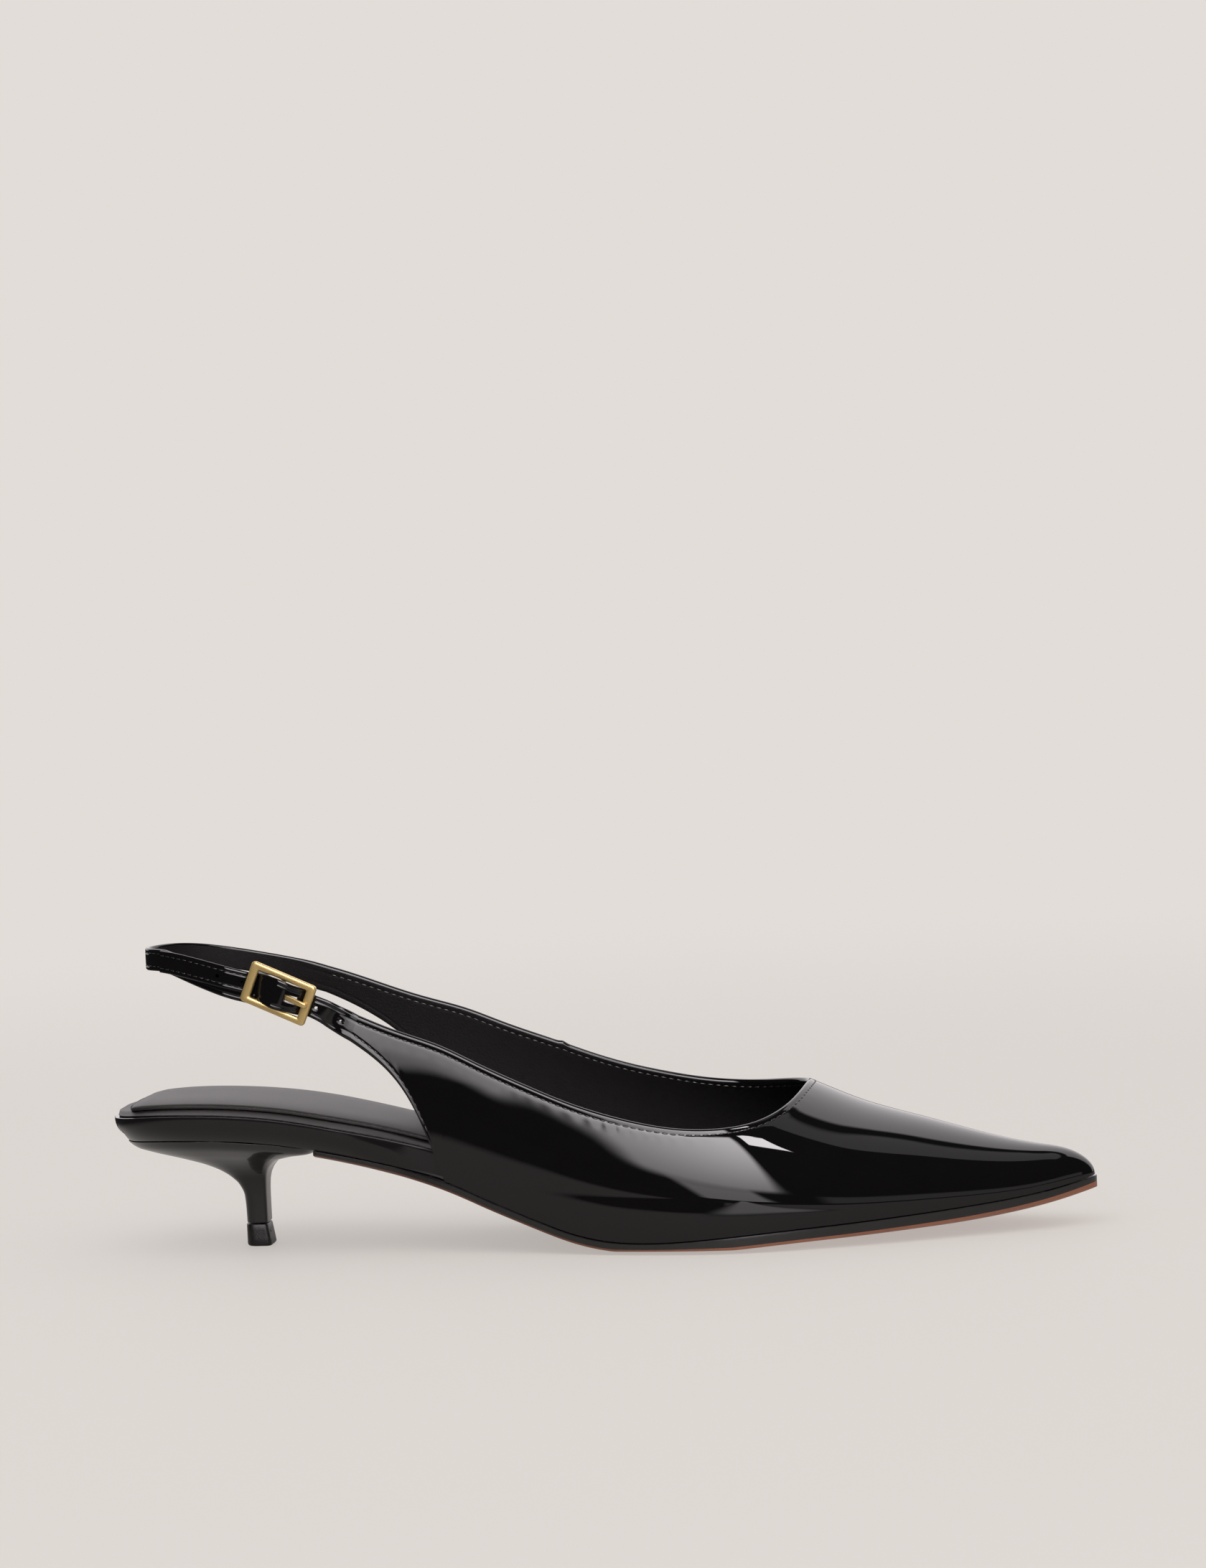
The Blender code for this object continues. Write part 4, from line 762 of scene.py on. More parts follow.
def makeUpper():
    stops = upperStops()
    down, outside, inside = wallSurfaces(stops)
    columns, rows = down.shape
    size = columns * rows
    faces = gridFaces(columns, rows)
    outerCount = len(faces)
    faces += gridFaces(columns, rows, size)
    marks = [0] * outerCount
    folded = (down[:-1, :-1] < upperLook["folded"]).reshape(-1)
    marks += [0 if flag else 1 for flag in folded]
    for i in range(columns - 1):
        a = i * rows + rows - 1
        faces.append((a, a + rows, size + a + rows, size + a))
        marks.append(0)
    for i in (0, columns - 1):
        for j in range(rows - 1):
            a = i * rows + j
            faces.append((a, a + 1, size + a + 1, size + a))
            marks.append(0)
    points = np.concatenate([outside.reshape(-1, 3), inside.reshape(-1, 3)])
    return shoeMesh("upperPatent", points, faces, (patent, lining), marks, 60)


dress(makeUpper(), ["upper"])
print("upper ready")

# ways to bevel, cut and layer


def bevelled(item, width, segments=3):
    modifier = item.modifiers.new("softEdge", "BEVEL")
    modifier.width = width
    modifier.segments = segments
    modifier.limit_method = "ANGLE"
    modifier.angle_limit = math.radians(35)
    modifier.harden_normals = False
    return settled(item)


def settled(item, sharp=None):
    # keep the evaluated mesh and drop the modifiers
    graph = bpy.context.evaluated_depsgraph_get()
    mesh = bpy.data.meshes.new_from_object(item.evaluated_get(graph))
    old = item.data
    item.modifiers.clear()
    item.data = mesh
    mesh.name = item.name
    bpy.data.meshes.remove(old)
    mesh.shade_smooth()
    if sharp:
        mesh.set_sharp_from_angle(angle=math.radians(sharp))
    return item


def circleOf(first, second, radius, sides):
    angle = 2 * math.pi * np.arange(sides) / sides
    return radius * (np.outer(np.cos(angle), first) + np.outer(np.sin(angle), second))


def makeRod(name, start, end, radius, materials, sides=24):
    axis = unit(end - start)
    first = unit(np.cross(axis, [0.0, 0.0, 1.0] if abs(axis[2]) < 0.9 else [1.0, 0.0, 0.0]))
    circle = circleOf(first, np.cross(axis, first), radius, sides)
    return sweepSections(name, [start + circle, end + circle], materials, None, 50)


def cutWith(item, cutters):
    for cutter in cutters:
        modifier = item.modifiers.new(cutter.name, "BOOLEAN")
        modifier.operation = "DIFFERENCE"
        modifier.object = cutter
        modifier.solver = "EXACT"
    settled(item, 55)
    for cutter in cutters:
        bpy.data.objects.remove(cutter)
    return item


def makeLayer(name, topSides, lowSides, topHeight, lowHeight, materials, across, sideRows,
              marksFor=None, bow=1.0):
    # rings run over the top, down the inner side, back under and up the outer side
    shares = 0.5 - 0.5 * np.cos(np.linspace(0, math.pi, across + 1))
    fall = np.linspace(0, 1, sideRows + 1)[1:-1]
    rings = []
    for topLeft, topRight, lowLeft, lowRight in zip(topSides[0], topSides[1], lowSides[0], lowSides[1]):
        top = topLeft + (topRight - topLeft) * shares[:, None]
        low = lowLeft + (lowRight - lowLeft) * shares[:, None]
        top = np.column_stack([top, topHeight(top[:, 0], 2 * shares - 1)])
        low = np.column_stack([low, lowHeight(low[:, 0], 2 * shares - 1)])
        lean = np.column_stack([fall ** bow, fall ** bow, fall])
        right = top[-1] + (low[-1] - top[-1]) * lean
        left = (top[0] + (low[0] - top[0]) * lean)[::-1]
        rings.append(np.concatenate([top, right, low[::-1], left]))
    ring = len(rings[0])
    marks = None
    if marksFor is not None:
        marks = np.tile(marksFor(ring, across, sideRows), len(rings) - 1).tolist()
    return sweepSections(name, rings, materials, marks)


def layerStations(back, short):
    # close together behind, even from the waist to the toe
    waist = last["waist"] * last["length"]
    behind = back + (waist - back) * np.linspace(0, 1, 60) ** 1.5
    return np.concatenate([behind[:-1], np.linspace(waist, last["length"] - short, 60)])


# layers under the foot
randLook = {"lip": 0.0008, "bead": 0.00012, "beadAt": 0.0007, "beadWidth": 0.0008, "short": 0.0135,
            "bow": 2.2, "tuck": 0.55, "held": last["wall"] + 2 * last["gap"]}
sockLook = {"edge": 0.22, "skive": 0.0055, "short": 0.0175, "setback": 0.0011, "padBack": 0.0017,
            "thickness": 0.0011, "lip": 0.0002, "held": last["wall"] + 3 * last["gap"]}
padLook = {"setback": 0.0040, "length": 0.1050, "thickness": 0.0017, "press": 0.0005, "pressAt": 0.0007,
           "pressWidth": 0.0005, "squareBy": 0.0068, "corner": 0.0032, "frontRound": 0.25,
           "frontPower": 2.4, "endSlope": 0.006, "endRim": 0.2, "edgePower": 5, "rim": 0.45, "lip": 0.0003}
padBack = sockLook["padBack"] + padLook["setback"]
padFront = padBack + padLook["length"]


def edgeDistance(across):
    # roughly how far a row lies from the side of the seat
    return (1 - np.abs(across)) * last["seatWidth"] / 2


def makeRand():
    held = randLook["held"]
    stations = layerStations(last["seatStart"], randLook["short"])
    top = boardSides(stations, held)
    tucked = np.maximum(stations, last["seatTaper"] * randLook["tuck"] + last["seatStart"])
    low = boardSides(tucked, held, last["seatTaper"])

    def rim(x, across):
        rise = randLook["bead"] * bell(edgeDistance(across), randLook["beadAt"], randLook["beadWidth"])
        return boardTop(x) + rise

    piece = makeLayer("insoleRand", top, low, rim, lambda x, across: seamHeight(x) + last["gap"] / 2,
                      (randCover,), 40, 8, None, randLook["bow"])
    return bevelled(piece, randLook["lip"])


def makeSock():
    stations = layerStations(sockLook["setback"] + last["seatStart"], sockLook["short"])
    sides = boardSides(stations, sockLook["held"], sockLook["setback"])
    base = last["gap"]

    def skived(x, across):
        rise = smoothStep(edgeDistance(across) / sockLook["skive"])
        return boardTop(x) + base + sockLook["thickness"] * (sockLook["edge"] + (1 - sockLook["edge"]) * rise)

    piece = makeLayer("insoleSock", sides, sides, skived, lambda x, across: boardTop(x) + base,
                      (sockLeather,), 40, 2)
    return bevelled(piece, sockLook["lip"])


def sockTop(x):
    return boardTop(x) + last["gap"] * 2 + sockLook["thickness"]


def padSides(inset=0.0):
    back, front = padBack + inset, padFront - inset
    stations = back + (front - back) * (0.5 - 0.5 * np.cos(np.linspace(0.02, math.pi - 0.02, 90)))
    held = sockLook["held"] + padLook["setback"] + inset
    outer, inner = boardSides(stations + padLook["squareBy"], held, back)
    outer[:, 0] = inner[:, 0] = stations
    power = padLook["frontPower"]
    near = np.clip(1 - (front - stations) / (padLook["frontRound"] * padLook["length"]), 0.0, 1.0)[:, None]
    behind = np.clip(1 - (stations - back) / padLook["corner"], 0.0, 1.0)[:, None]
    keep = (1 - near ** power) ** (1 / power) * (1 - behind ** 3) ** (1 / 3)
    middle = (outer + inner) / 2
    return stations, middle + (outer - middle) * keep, middle + (inner - middle) * keep


def padCrown(x, across):
    fromEnd = np.minimum(x - padBack, padFront - x)
    ends = np.minimum(1.0, fromEnd / padLook["endSlope"] + padLook["endRim"])
    edge = 1 - np.abs(across) ** padLook["edgePower"]
    crown = sockTop(x) + padLook["thickness"] * (padLook["rim"] + (1 - padLook["rim"]) * edge * ends)
    inward = np.minimum(edgeDistance(across), fromEnd)
    return crown - padLook["press"] * bell(inward, padLook["pressAt"], padLook["pressWidth"])


def makePad():
    stations, outer, inner = padSides()
    piece = makeLayer("heelPad", (outer, inner), (outer, inner), padCrown, lambda x, across: sockTop(x),
                      (sockLeather,), 60, 2)
    return bevelled(piece, padLook["lip"])


dress(makeRand(), ["insole_board"])
dress(makeSock(), ["insole_sock"])
pad = dress(makePad(), ["heel_pad"])

# sole
soleLook = {"bevel": 0.0012, "bevelFrom": 0.72, "breast": 0.0591, "softEdge": 0.0004, "noseFrom": 0.93}


def soleSides(reaches):
    enter = joined(reaches, last["soleJoins"])[:, None]
    waist = boardSides(reaches, last["wall"] + last["gap"], last["seatTaper"])
    sides = []
    for side, under in zip((-1, 1), waist):
        rim = featherLine(reaches, side, last["soleMargin"])
        sides.append(under + (rim - under) * enter)
    return sides


def makeSole():
    nose = soleLook["noseFrom"] * last["length"]
    reaches = np.concatenate([np.linspace(soleLook["breast"], nose, 120)[:-1],
                              np.linspace(nose, last["length"] + last["nose"], 30)])
    outer, inner = soleSides(reaches)

    def underside(x, across):
        past = (np.abs(across) - soleLook["bevelFrom"]) / (1 - soleLook["bevelFrom"])
        lift = soleLook["bevel"] * np.maximum(0.0, past) ** 2
        return treadHeight(x) + np.minimum(lift, 0.6 * last["soleThickness"])

    def painted(ring, across, sideRows):
        marks = np.zeros(ring, int)
        marks[across + sideRows - 1:across * 2 + sideRows + 1] = 1
        return marks

    piece = makeLayer("soleLeather", (outer, inner), (outer, inner),
                      lambda x, across: seamHeight(x) - last["gap"] / 2, underside, (edgePaint, soleTan),
                      36, 5, painted)
    return bevelled(piece, soleLook["softEdge"], 4)


dress(makeSole(), ["outsole"])

# heel and top piece
heelLook = {"front": 0.0590, "stemBack": 0.0350, "stemLength": 0.0063, "stemWidth": 0.0080,
            "topPiece": 0.0062, "flare": 0.0009, "levels": 70, "points": 30, "follow": 0.45, "lip": 0.00025,
            "backPower": 2.5, "frontPower": 7.0, "seatSetback": 0.0012, "seatInset": 0.0002,
            "nailHigh": 0.0040, "nailSide": 0.0018, "nailRadius": 0.00045}
topPieceRows = (  # height, share of the flare, tuck
    (0.0, 1.0, 0.0004), (0.0003, 1.0, 0.0001), (0.0006, 1.0, 0.0), (0.0024, 0.7, 0.0),
    (0.0045, 0.3, 0.0), (0.0059, 0.05, 0.0), (heelLook["topPiece"], 0.0, 0.0002),
)


def heelOutline(back, front, half):
    middle = (back + front) / 2
    angle = math.pi * np.arange(heelLook["points"] + 1) / heelLook["points"]
    across, along = np.sin(angle), -np.cos(angle)
    behind = along < 0
    power = np.where(behind, 2 / heelLook["backPower"], 2 / heelLook["frontPower"])
    reach = np.where(behind, middle - back, front - middle)
    x = middle + reach * np.copysign(np.abs(along) ** power, along)
    return x, half * np.abs(across) ** power


def levelRing(x, y, z):
    z = np.broadcast_to(z, x.shape)
    left = np.column_stack([x, seatMiddle - y, z])
    right = np.column_stack([x, seatMiddle + y, z])[-2:0:-1]
    return np.concatenate([left, right])


def makeHeel():
    seatBack = last["seatTaper"] * randLook["tuck"] + heelLook["seatSetback"]
    stemFront = heelLook["stemBack"] + heelLook["stemLength"]
    seatHalf = last["seatWidth"] / 2 - last["seatTaper"] - heelLook["seatInset"]
    seatTop = float(seamHeight(heelLook["stemBack"]))
    levels = tableColumn(heelRows, 0)
    curves = [steadyCurve(levels, tableColumn(heelRows, index)) for index in (1, 2, 3)]
    rings = []
    for level in np.linspace(levels[0], 1.0, heelLook["levels"]):
        back, front, side = [float(curve(level)) for curve in curves]
        start = heelLook["stemBack"] + (seatBack - heelLook["stemBack"]) * back
        end = stemFront + (heelLook["front"] - stemFront) * front
        half = heelLook["stemWidth"] / 2 + (seatHalf - heelLook["stemWidth"] / 2) * side
        x, y = heelOutline(start, end, half)
        follow = float(smoothStep((level - heelLook["follow"]) / (1 - heelLook["follow"])))
        low = heelLook["topPiece"] + last["gap"]
        height = low + (seatTop - last["gap"] / 2 - low) * (level - levels[0]) / (1 - levels[0])
        rings.append(levelRing(x, y, height + follow * (seamHeight(x) - seatTop)))
    return bevelled(sweepSections("heelBody", rings, (heelCover,)), heelLook["lip"])


def makeTopPiece():
    front = heelLook["stemBack"] + heelLook["stemLength"]
    rings = []
    for height, flare, tuck in topPieceRows:
        x, y = heelOutline(heelLook["stemBack"] - 0.0002 + tuck, front + heelLook["flare"] * flare - tuck,
                           heelLook["stemWidth"] / 2 + 0.3 * heelLook["flare"] * flare - tuck)
        rings.append(levelRing(x, y, height))
    piece = sweepSections("topPiece", rings, (topRubber,), None, 50)
    nail = np.array([front, seatMiddle - heelLook["nailSide"], heelLook["nailHigh"]])
    reach = np.array([0.0015, 0, 0])
    hole = makeRod("nailHole", nail - reach, nail + reach, heelLook["nailRadius"], (topRubber,), 12)
    return cutWith(piece, [hole])


dress(makeHeel(), ["heel"])
dress(makeTopPiece(), ["top_piece"])
print("layers, sole and heel ready")

# straps and buckle
strapLook = {
    "width": 0.0062, "thickness": 0.0013, "skived": 0.0007, "tail": 0.0375, "turnBack": 0.0095,
    "hang": 0.0028, "hangOver": 0.027, "rest": 0.0003, "trim": 0.0004, "swell": 0.0015, "swellTo": 0.010,
    "swellOver": 0.0035, "crestSwell": 0.0008, "fullness": 0.45, "clear": 0.0004, "pairOver": 0.008,
    "partOver": 0.010, "straightPast": 0.0015, "bendAhead": 0.006, "bendBehind": 0.010,
    "slotStart": 0.0026, "slotEnd": 0.0056, "twist": 0.22, "twistFrom": 0.0105, "twistOver": 0.005,
    "holePitch": 0.0075, "holeRadius": 0.0005, "holeTilt": 0.6, "holeDip": 0.0002, "holeSpread": 0.0007,
    "holeLip": 0.00008, "groove": 0.00012, "grooveIn": 0.0013, "step": 0.0007, "ringFlat": 45,
    "outerRoot": 0.007, "innerRoot": 0.012, "outerTurns": 0.3, "innerTurns": 0.6, "outerWidens": 0.35,
    "innerWidens": 0.8, "twistEnds": 0.004, "restFrom": 0.75, "restOver": 0.45, "grooveWidth": 0.0003,
    "lipWidth": 0.0005, "dipPast": 0.0002, "heldHole": 0.4, "tailDip": 0.4, "awl": 0.002,
    "slotDepth": 0.012, "bendBefore": 0.004, "ringSlack": 0.0004, "ringDepth": 0.010,
}
buckleLook = {
    "length": 0.0198, "turn": 4.0, "endBar": 0.0025, "rail": 0.0019, "depth": 0.0016, "play": 0.0009,
    "barRadius": 0.00075, "barDrop": 0.0008, "prongWidth": 0.0019, "prongDepth": 0.0009, "hookStart": -150,
    "corner": 0.0011, "cornerLoss": 0.0008, "cornerLeast": 0.0004, "squareness": 3.2, "barSides": 24,
    "prongRise": 0.28, "prongLands": 0.9, "prongOver": 0.25, "prongTaper": 0.25, "tipFrom": 0.92,
}


def makeStrapLine():
    ends = []
    for at in (0.0, 1.0):
        top, foot = [place[0] for place in ribPlaces(np.array([at]))]
        middle = (top + foot) / 2
        depth = lastNormal(*middle) * last["wall"] / 2
        high, low = lastPoint(*top), lastPoint(*foot)
        ends.append(((high + low) / 2 - depth + np.array([0, 0, last["gap"] / 2]), high - low))
    rows = [np.array([along * last["length"], side * last["ballWidth"],
                      float(seamHeight(along * last["length"])) + rise * last["instepRise"]])
            for along, side, rise in loopRows]
    points = np.array([ends[0][0], *rows, ends[1][0]])
    chord = runAlong(points)
    line = {"zero": chord[1], "curves": [smoothCurve(chord, points[:, axis]) for axis in range(3)],
            "outerEnd": chord[1], "innerEnd": chord[1] - chord[-1],
            "endWidth": [np.linalg.norm(end[1]) for end in ends], "endUp": [unit(end[1]) for end in ends]}
    line["middle"] = loopPoint(line, 0.0)
    along = unit(loopPoint(line, 0.0005) - loopPoint(line, -0.0005))
    across = unit(np.array([0.0, 0.0, 1.0]) - along * along[2])
    turn = math.radians(buckleLook["turn"])
    line["along"] = along * math.cos(turn) - across * math.sin(turn)
    return line


def loopPoint(line, distance):
    return np.array([float(curve(line["zero"] - distance)) for curve in line["curves"]])


def linePoint(line, distance):
    ahead = (distance - buckleLook["length"] / 2 - strapLook["straightPast"]) / strapLook["bendAhead"]
    bent = smoothStep(ahead) + smoothStep(-distance / strapLook["bendBehind"])
    straight = line["middle"] + line["along"] * distance
    return straight + (loopPoint(line, distance) - straight) * bent


def towards(line, end, share, distance):
    # 0 up to a share of the way to an end of the line, and 1 at that end
    return smoothStep((distance - share * line[end]) / ((1 - share) * line[end]))


def lineFrame(line, distance):
    along = unit(linePoint(line, distance + 0.0004) - linePoint(line, distance - 0.0004))
    outer = towards(line, "outerEnd", strapLook["outerTurns"], distance)
    inner = towards(line, "innerEnd", strapLook["innerTurns"], distance)
    upright = np.array([0.0, 0.0, 1.0])
    across = unit(upright + (line["endUp"][0] - upright) * outer + (line["endUp"][1] - upright) * inner)
    nearEnd = min(line["outerEnd"] - distance, distance - line["innerEnd"])
    square = float(smoothStep(nearEnd / strapLook["width"]))
    across = unit(across - along * np.dot(across, along) * square)
    past = smoothStep((distance - strapLook["twistFrom"]) / strapLook["twistOver"])
    left = smoothStep((line["outerEnd"] - distance) / strapLook["twistEnds"])
    lean = strapLook["twist"] * float(past * left)
    across = unit(across + unit(np.cross(along, across)) * lean)
    return linePoint(line, distance), along, across, unit(np.cross(along, across))


def lineWidth(line, distance):
    outer = towards(line, "outerEnd", strapLook["outerWidens"], distance)
    inner = towards(line, "innerEnd", strapLook["innerWidens"], distance)
    wide = strapLook["width"] + (line["endWidth"][0] - strapLook["width"]) * outer
    return wide + (line["endWidth"][1] - strapLook["width"]) * inner


strapLine = makeStrapLine()
thick, gap = strapLook["thickness"], last["gap"]
frameOut = thick / 2 + gap + buckleLook["depth"] / 2
barOut = frameOut - buckleLook["barDrop"]
ringRadius = buckleLook["barRadius"] + gap + buckleLook["prongDepth"] / 2
wrapRadius = buckleLook["barRadius"] + gap + strapLook["skived"] / 2
crestOut = barOut + buckleLook["barRadius"] + 2 * gap + buckleLook["prongDepth"] + thick / 2
endBarAt = (buckleLook["length"] - buckleLook["endBar"]) / 2
pairOut = (thick + gap) / 2
buckleHeight = strapLook["width"] + 2 * (buckleLook["play"] + buckleLook["rail"])


def rounded(distance, reach):
    return 0.5 + 0.5 * math.cos(math.pi * min(abs(distance) / reach, 1.0))


def hump(distance):
    # fuller than the sling strap's arch under it, and clear of the end bars
    reach = endBarAt - buckleLook["endBar"] / 2 - strapLook["clear"]
    return rounded(distance, reach) ** strapLook["fullness"]


def paired(distance):
    # 0 in the buckle, 1 where the straps lie on each other behind it
    return float(smoothStep((-distance - endBarAt - buckleLook["endBar"] / 2) / strapLook["pairOver"]))


def buckledOut(distance):
    return crestOut * hump(distance) + pairOut * paired(distance)


def slingOut(distance):
    under = -pairOut * 2
    if distance > -endBarAt:
        return under + (barOut + wrapRadius - under) * rounded(distance, endBarAt - buckleLook["endBar"] / 2)
    alone = float(smoothStep((-distance - strapLook["tail"]) / strapLook["partOver"]))
    return under + pairOut * paired(distance) + pairOut * alone


def slingSag(distance):
    share = float(np.clip((distance + strapLook["tail"]) / strapLook["hangOver"], 0.0, 1.0))
    fromRest = distance + strapLook["restFrom"] * endBarAt
    back = float(smoothStep(fromRest / (strapLook["restOver"] * endBarAt)))
    return -strapLook["hang"] * math.sin(0.5 * math.pi * share) * (1 - back) - strapLook["rest"] * back


def bandRing(width, depth, groove=0.0):
    # across the band and out of it, with folded edges and a stitch groove on the outer face
    radius = min(depth / 2, 0.45 * width)
    half = width / 2
    flat = np.linspace(-(half - radius), half - radius, strapLook["ringFlat"])
    fold = np.linspace(math.pi / 2, -math.pi / 2, 9)[1:-1]
    row = half - strapLook["grooveIn"]
    sink = groove * (bell(flat, row, strapLook["grooveWidth"]) + bell(flat, -row, strapLook["grooveWidth"]))
    top = np.column_stack([flat, depth / 2 - sink])
    right = np.column_stack([half - radius + radius * np.cos(fold), depth / 2 * np.sin(fold)])
    left = right[::-1] * np.array([-1, 1])
    return np.concatenate([top, right, np.column_stack([flat[::-1], np.full(len(flat), -depth / 2)]), left])


def rootSection(at, distance):
    # the quarter's end around the strap's line: share of its height and offset, outer face then inner face
    _, outside, inside = wallSurfaces(np.array([at]))
    point, _, across, _ = lineFrame(strapLine, distance)
    sides = []
    for face in (outside[0], inside[0]):
        offsets = face - point
        over = offsets @ across
        order = np.argsort(over)
        sides.append(((over[order] - over.min()) / (over.max() - over.min()), offsets[order]))
    return sides


def bandSweep(name, rows, materials, groove=0.0, dips=(), root=None):
    # rows of centre, width direction, width, thickness and share of the root's section
    centres = np.array([row[0] for row in rows])
    tangents = unit(np.gradient(centres, axis=0))
    run = runAlong(centres)
    rings = []
    for index, (centre, across, width, depth, rooted) in enumerate(rows):
        normal = unit(np.cross(tangents[index], across))
        ring = bandRing(width, depth, groove * (1 - rooted))
        out = ring[:, 1].copy()
        for at, radius, strength in dips:
            away = np.hypot(run[index] - at, ring[:, 0])
            lip = strapLook["holeLip"] * bell(away, radius + strapLook["holeSpread"], strapLook["lipWidth"])
            rim = strength * (strapLook["holeDip"] * bell(away, 0, radius + strapLook["dipPast"]) - lip)
            out = out - np.where(ring[:, 1] > 0, rim, 0.0)
        places = centre + across * ring[:, 0, None] + normal * out[:, None]
        if rooted > 0:
            for upper, (over, offsets) in zip((True, False), root):
                at = [np.interp(ring[:, 0] / width + 0.5, over, offsets[:, axis]) for axis in range(3)]
                here = ((ring[:, 1] > 0) == upper)[:, None]
                places = np.where(here, places + (centre + np.column_stack(at) - places) * rooted, places)
        rings.append(places)
    count, flats = len(rings[0]), strapLook["ringFlat"]
    marks = np.zeros(count, int)
    if len(materials) > 1:
        marks[flats + 7:flats * 2 + 6] = 1
    return sweepSections(name, rings, materials, np.tile(marks, len(rings) - 1).tolist())


def strapBox(name, start, end, width, depth, out):
    _, along, across, normal = lineFrame(strapLine, 0.0)
    middle = strapLine["middle"]
    rings = []
    for distance in (start, end):
        centre = middle + along * distance
        rings.append([centre + across * over * width / 2 + normal * (out + side * depth / 2)
                      for over, side in ((-1, -1), (1, -1), (1, 1), (-1, 1))])
    return sweepSections(name, rings, (patent,))


def buckledRows():
    start, end = -strapLook["tail"], strapLine["outerEnd"]
    distances = np.linspace(start, end, int((end - start) / strapLook["step"]))
    rows, rootOver = [], strapLook["outerRoot"]
    for distance in distances:
        point, _, across, normal = lineFrame(strapLine, distance)
        root = float(smoothStep((distance - end + rootOver) / rootOver))
        depth = thick + (last["wall"] - thick) * root
        wide = lineWidth(strapLine, distance) + strapLook["crestSwell"] * hump(distance) ** 4
        inside = (strapLook["swellTo"] - abs(distance)) / strapLook["swellOver"]
        wide += strapLook["swell"] * float(smoothStep(inside))
        rows.append((point + normal * buckledOut(distance), across, wide, depth, root))
    return rows, distances


def makeBuckledStrap():
    rows, distances = buckledRows()
    run = runAlong(np.array([row[0] for row in rows]))
    held = endBarAt * strapLook["heldHole"]
    holes = [held + number * strapLook["holePitch"] for number in (-3, -2, 1, 2)]
    dips = [(float(np.interp(hole, distances, run)), strapLook["holeRadius"],
             1.0 if hole > 0 else strapLook["tailDip"]) for hole in holes]
    root = rootSection(0.0, strapLine["outerEnd"])
    strap = bandSweep("buckleStrap", rows, (patent, lining), strapLook["groove"], dips, root)
    slotWidth = buckleLook["prongWidth"] + gap
    cutters = [strapBox("prongSlot", strapLook["slotStart"], strapLook["slotEnd"], slotWidth,
                        strapLook["slotDepth"], barOut)]
    for index, distance in enumerate(holes):
        point, along, _, normal = lineFrame(strapLine, distance)
        point = point + normal * buckledOut(distance)
        awl = (normal + along * strapLook["holeTilt"]) * strapLook["awl"]
        hole = makeRod("hole" + str(index), point - awl, point + awl, strapLook["holeRadius"], (patent,))
        cutters.append(hole)
    return cutWith(strap, cutters)


def makeSlingStrap():
    rows = []
    bendEnd = -endBarAt - strapLook["bendBefore"]
    _, barAlong, barAcross, barNormal = lineFrame(strapLine, 0.0)
    first, rootOver = strapLine["innerEnd"], strapLook["innerRoot"]
    trimmed = strapLook["width"] - strapLook["trim"]
    for distance in np.linspace(first, bendEnd, int((bendEnd - first) / strapLook["step"])):
        point, _, across, normal = lineFrame(strapLine, distance)
        root = float(smoothStep((first + rootOver - distance) / rootOver))
        depth = thick + (last["wall"] - thick) * root
        rows.append((point + normal * slingOut(distance) + across * slingSag(distance), across,
                     lineWidth(strapLine, distance), depth, root))
    for distance in np.linspace(bendEnd, 0.0, 16)[1:]:
        share = (distance - bendEnd) / -bendEnd
        point, _, across, normal = lineFrame(strapLine, distance)
        thin = thick + (strapLook["skived"] - thick) * float(smoothStep(2.4 * share))
        rows.append((point + normal * slingOut(distance) + across * slingSag(distance), barAcross,
                     strapLook["width"] - strapLook["trim"] * share, thin, 0.0))
    bar = strapLine["middle"] + barNormal * barOut - barAcross * strapLook["rest"]
    for angle in np.linspace(math.pi / 2, -math.pi / 2, 17)[1:]:
        point = bar + wrapRadius * (barAlong * math.cos(angle) + barNormal * math.sin(angle))
        rows.append((point, barAcross, trimmed, strapLook["skived"], 0.0))
    start = strapLine["middle"] - barAcross * strapLook["rest"]
    lowest = -pairOut * 2 - (thick + strapLook["skived"]) / 2 - gap
    for share in np.linspace(0, 1, 13)[1:]:
        out = barOut - wrapRadius + (lowest - barOut + wrapRadius) * float(smoothStep(1.25 * share))
        point = start - barAlong * strapLook["turnBack"] * share + barNormal * out
        rows.append((point, barAcross, trimmed, strapLook["skived"], 0.0))
    root = rootSection(1.0, first)
    strap = bandSweep("slingStrap", rows, (patent, lining), strapLook["groove"], (), root)
    reach = wrapRadius + strapLook["skived"] / 2 + gap * 2
    slot = strapBox("ringSlot", -reach - strapLook["ringSlack"], reach, buckleLook["prongWidth"] + 2 * gap,
                    strapLook["ringDepth"], barOut)
    return cutWith(strap, [slot])


def roundedRectangle(halfLong, halfHigh, radius, steps=8, flats=10):
    corners = ((halfLong - radius, halfHigh - radius, 0), (radius - halfLong, halfHigh - radius, 90),
               (radius - halfLong, radius - halfHigh, 180), (halfLong - radius, radius - halfHigh, 270))
    arcs = []
    for x, y, start in corners:
        angle = np.radians(start + 90 * np.arange(steps + 1) / steps)
        arcs.append(np.column_stack([x + radius * np.cos(angle), y + radius * np.sin(angle)]))
    outline = []
    for index, arc in enumerate(arcs):
        outline.append(arc)
        following = arcs[(index + 1) % 4][0]
        outline.append(arc[-1] + (following - arc[-1]) * (np.arange(1, flats) / flats)[:, None])
    return np.concatenate(outline)


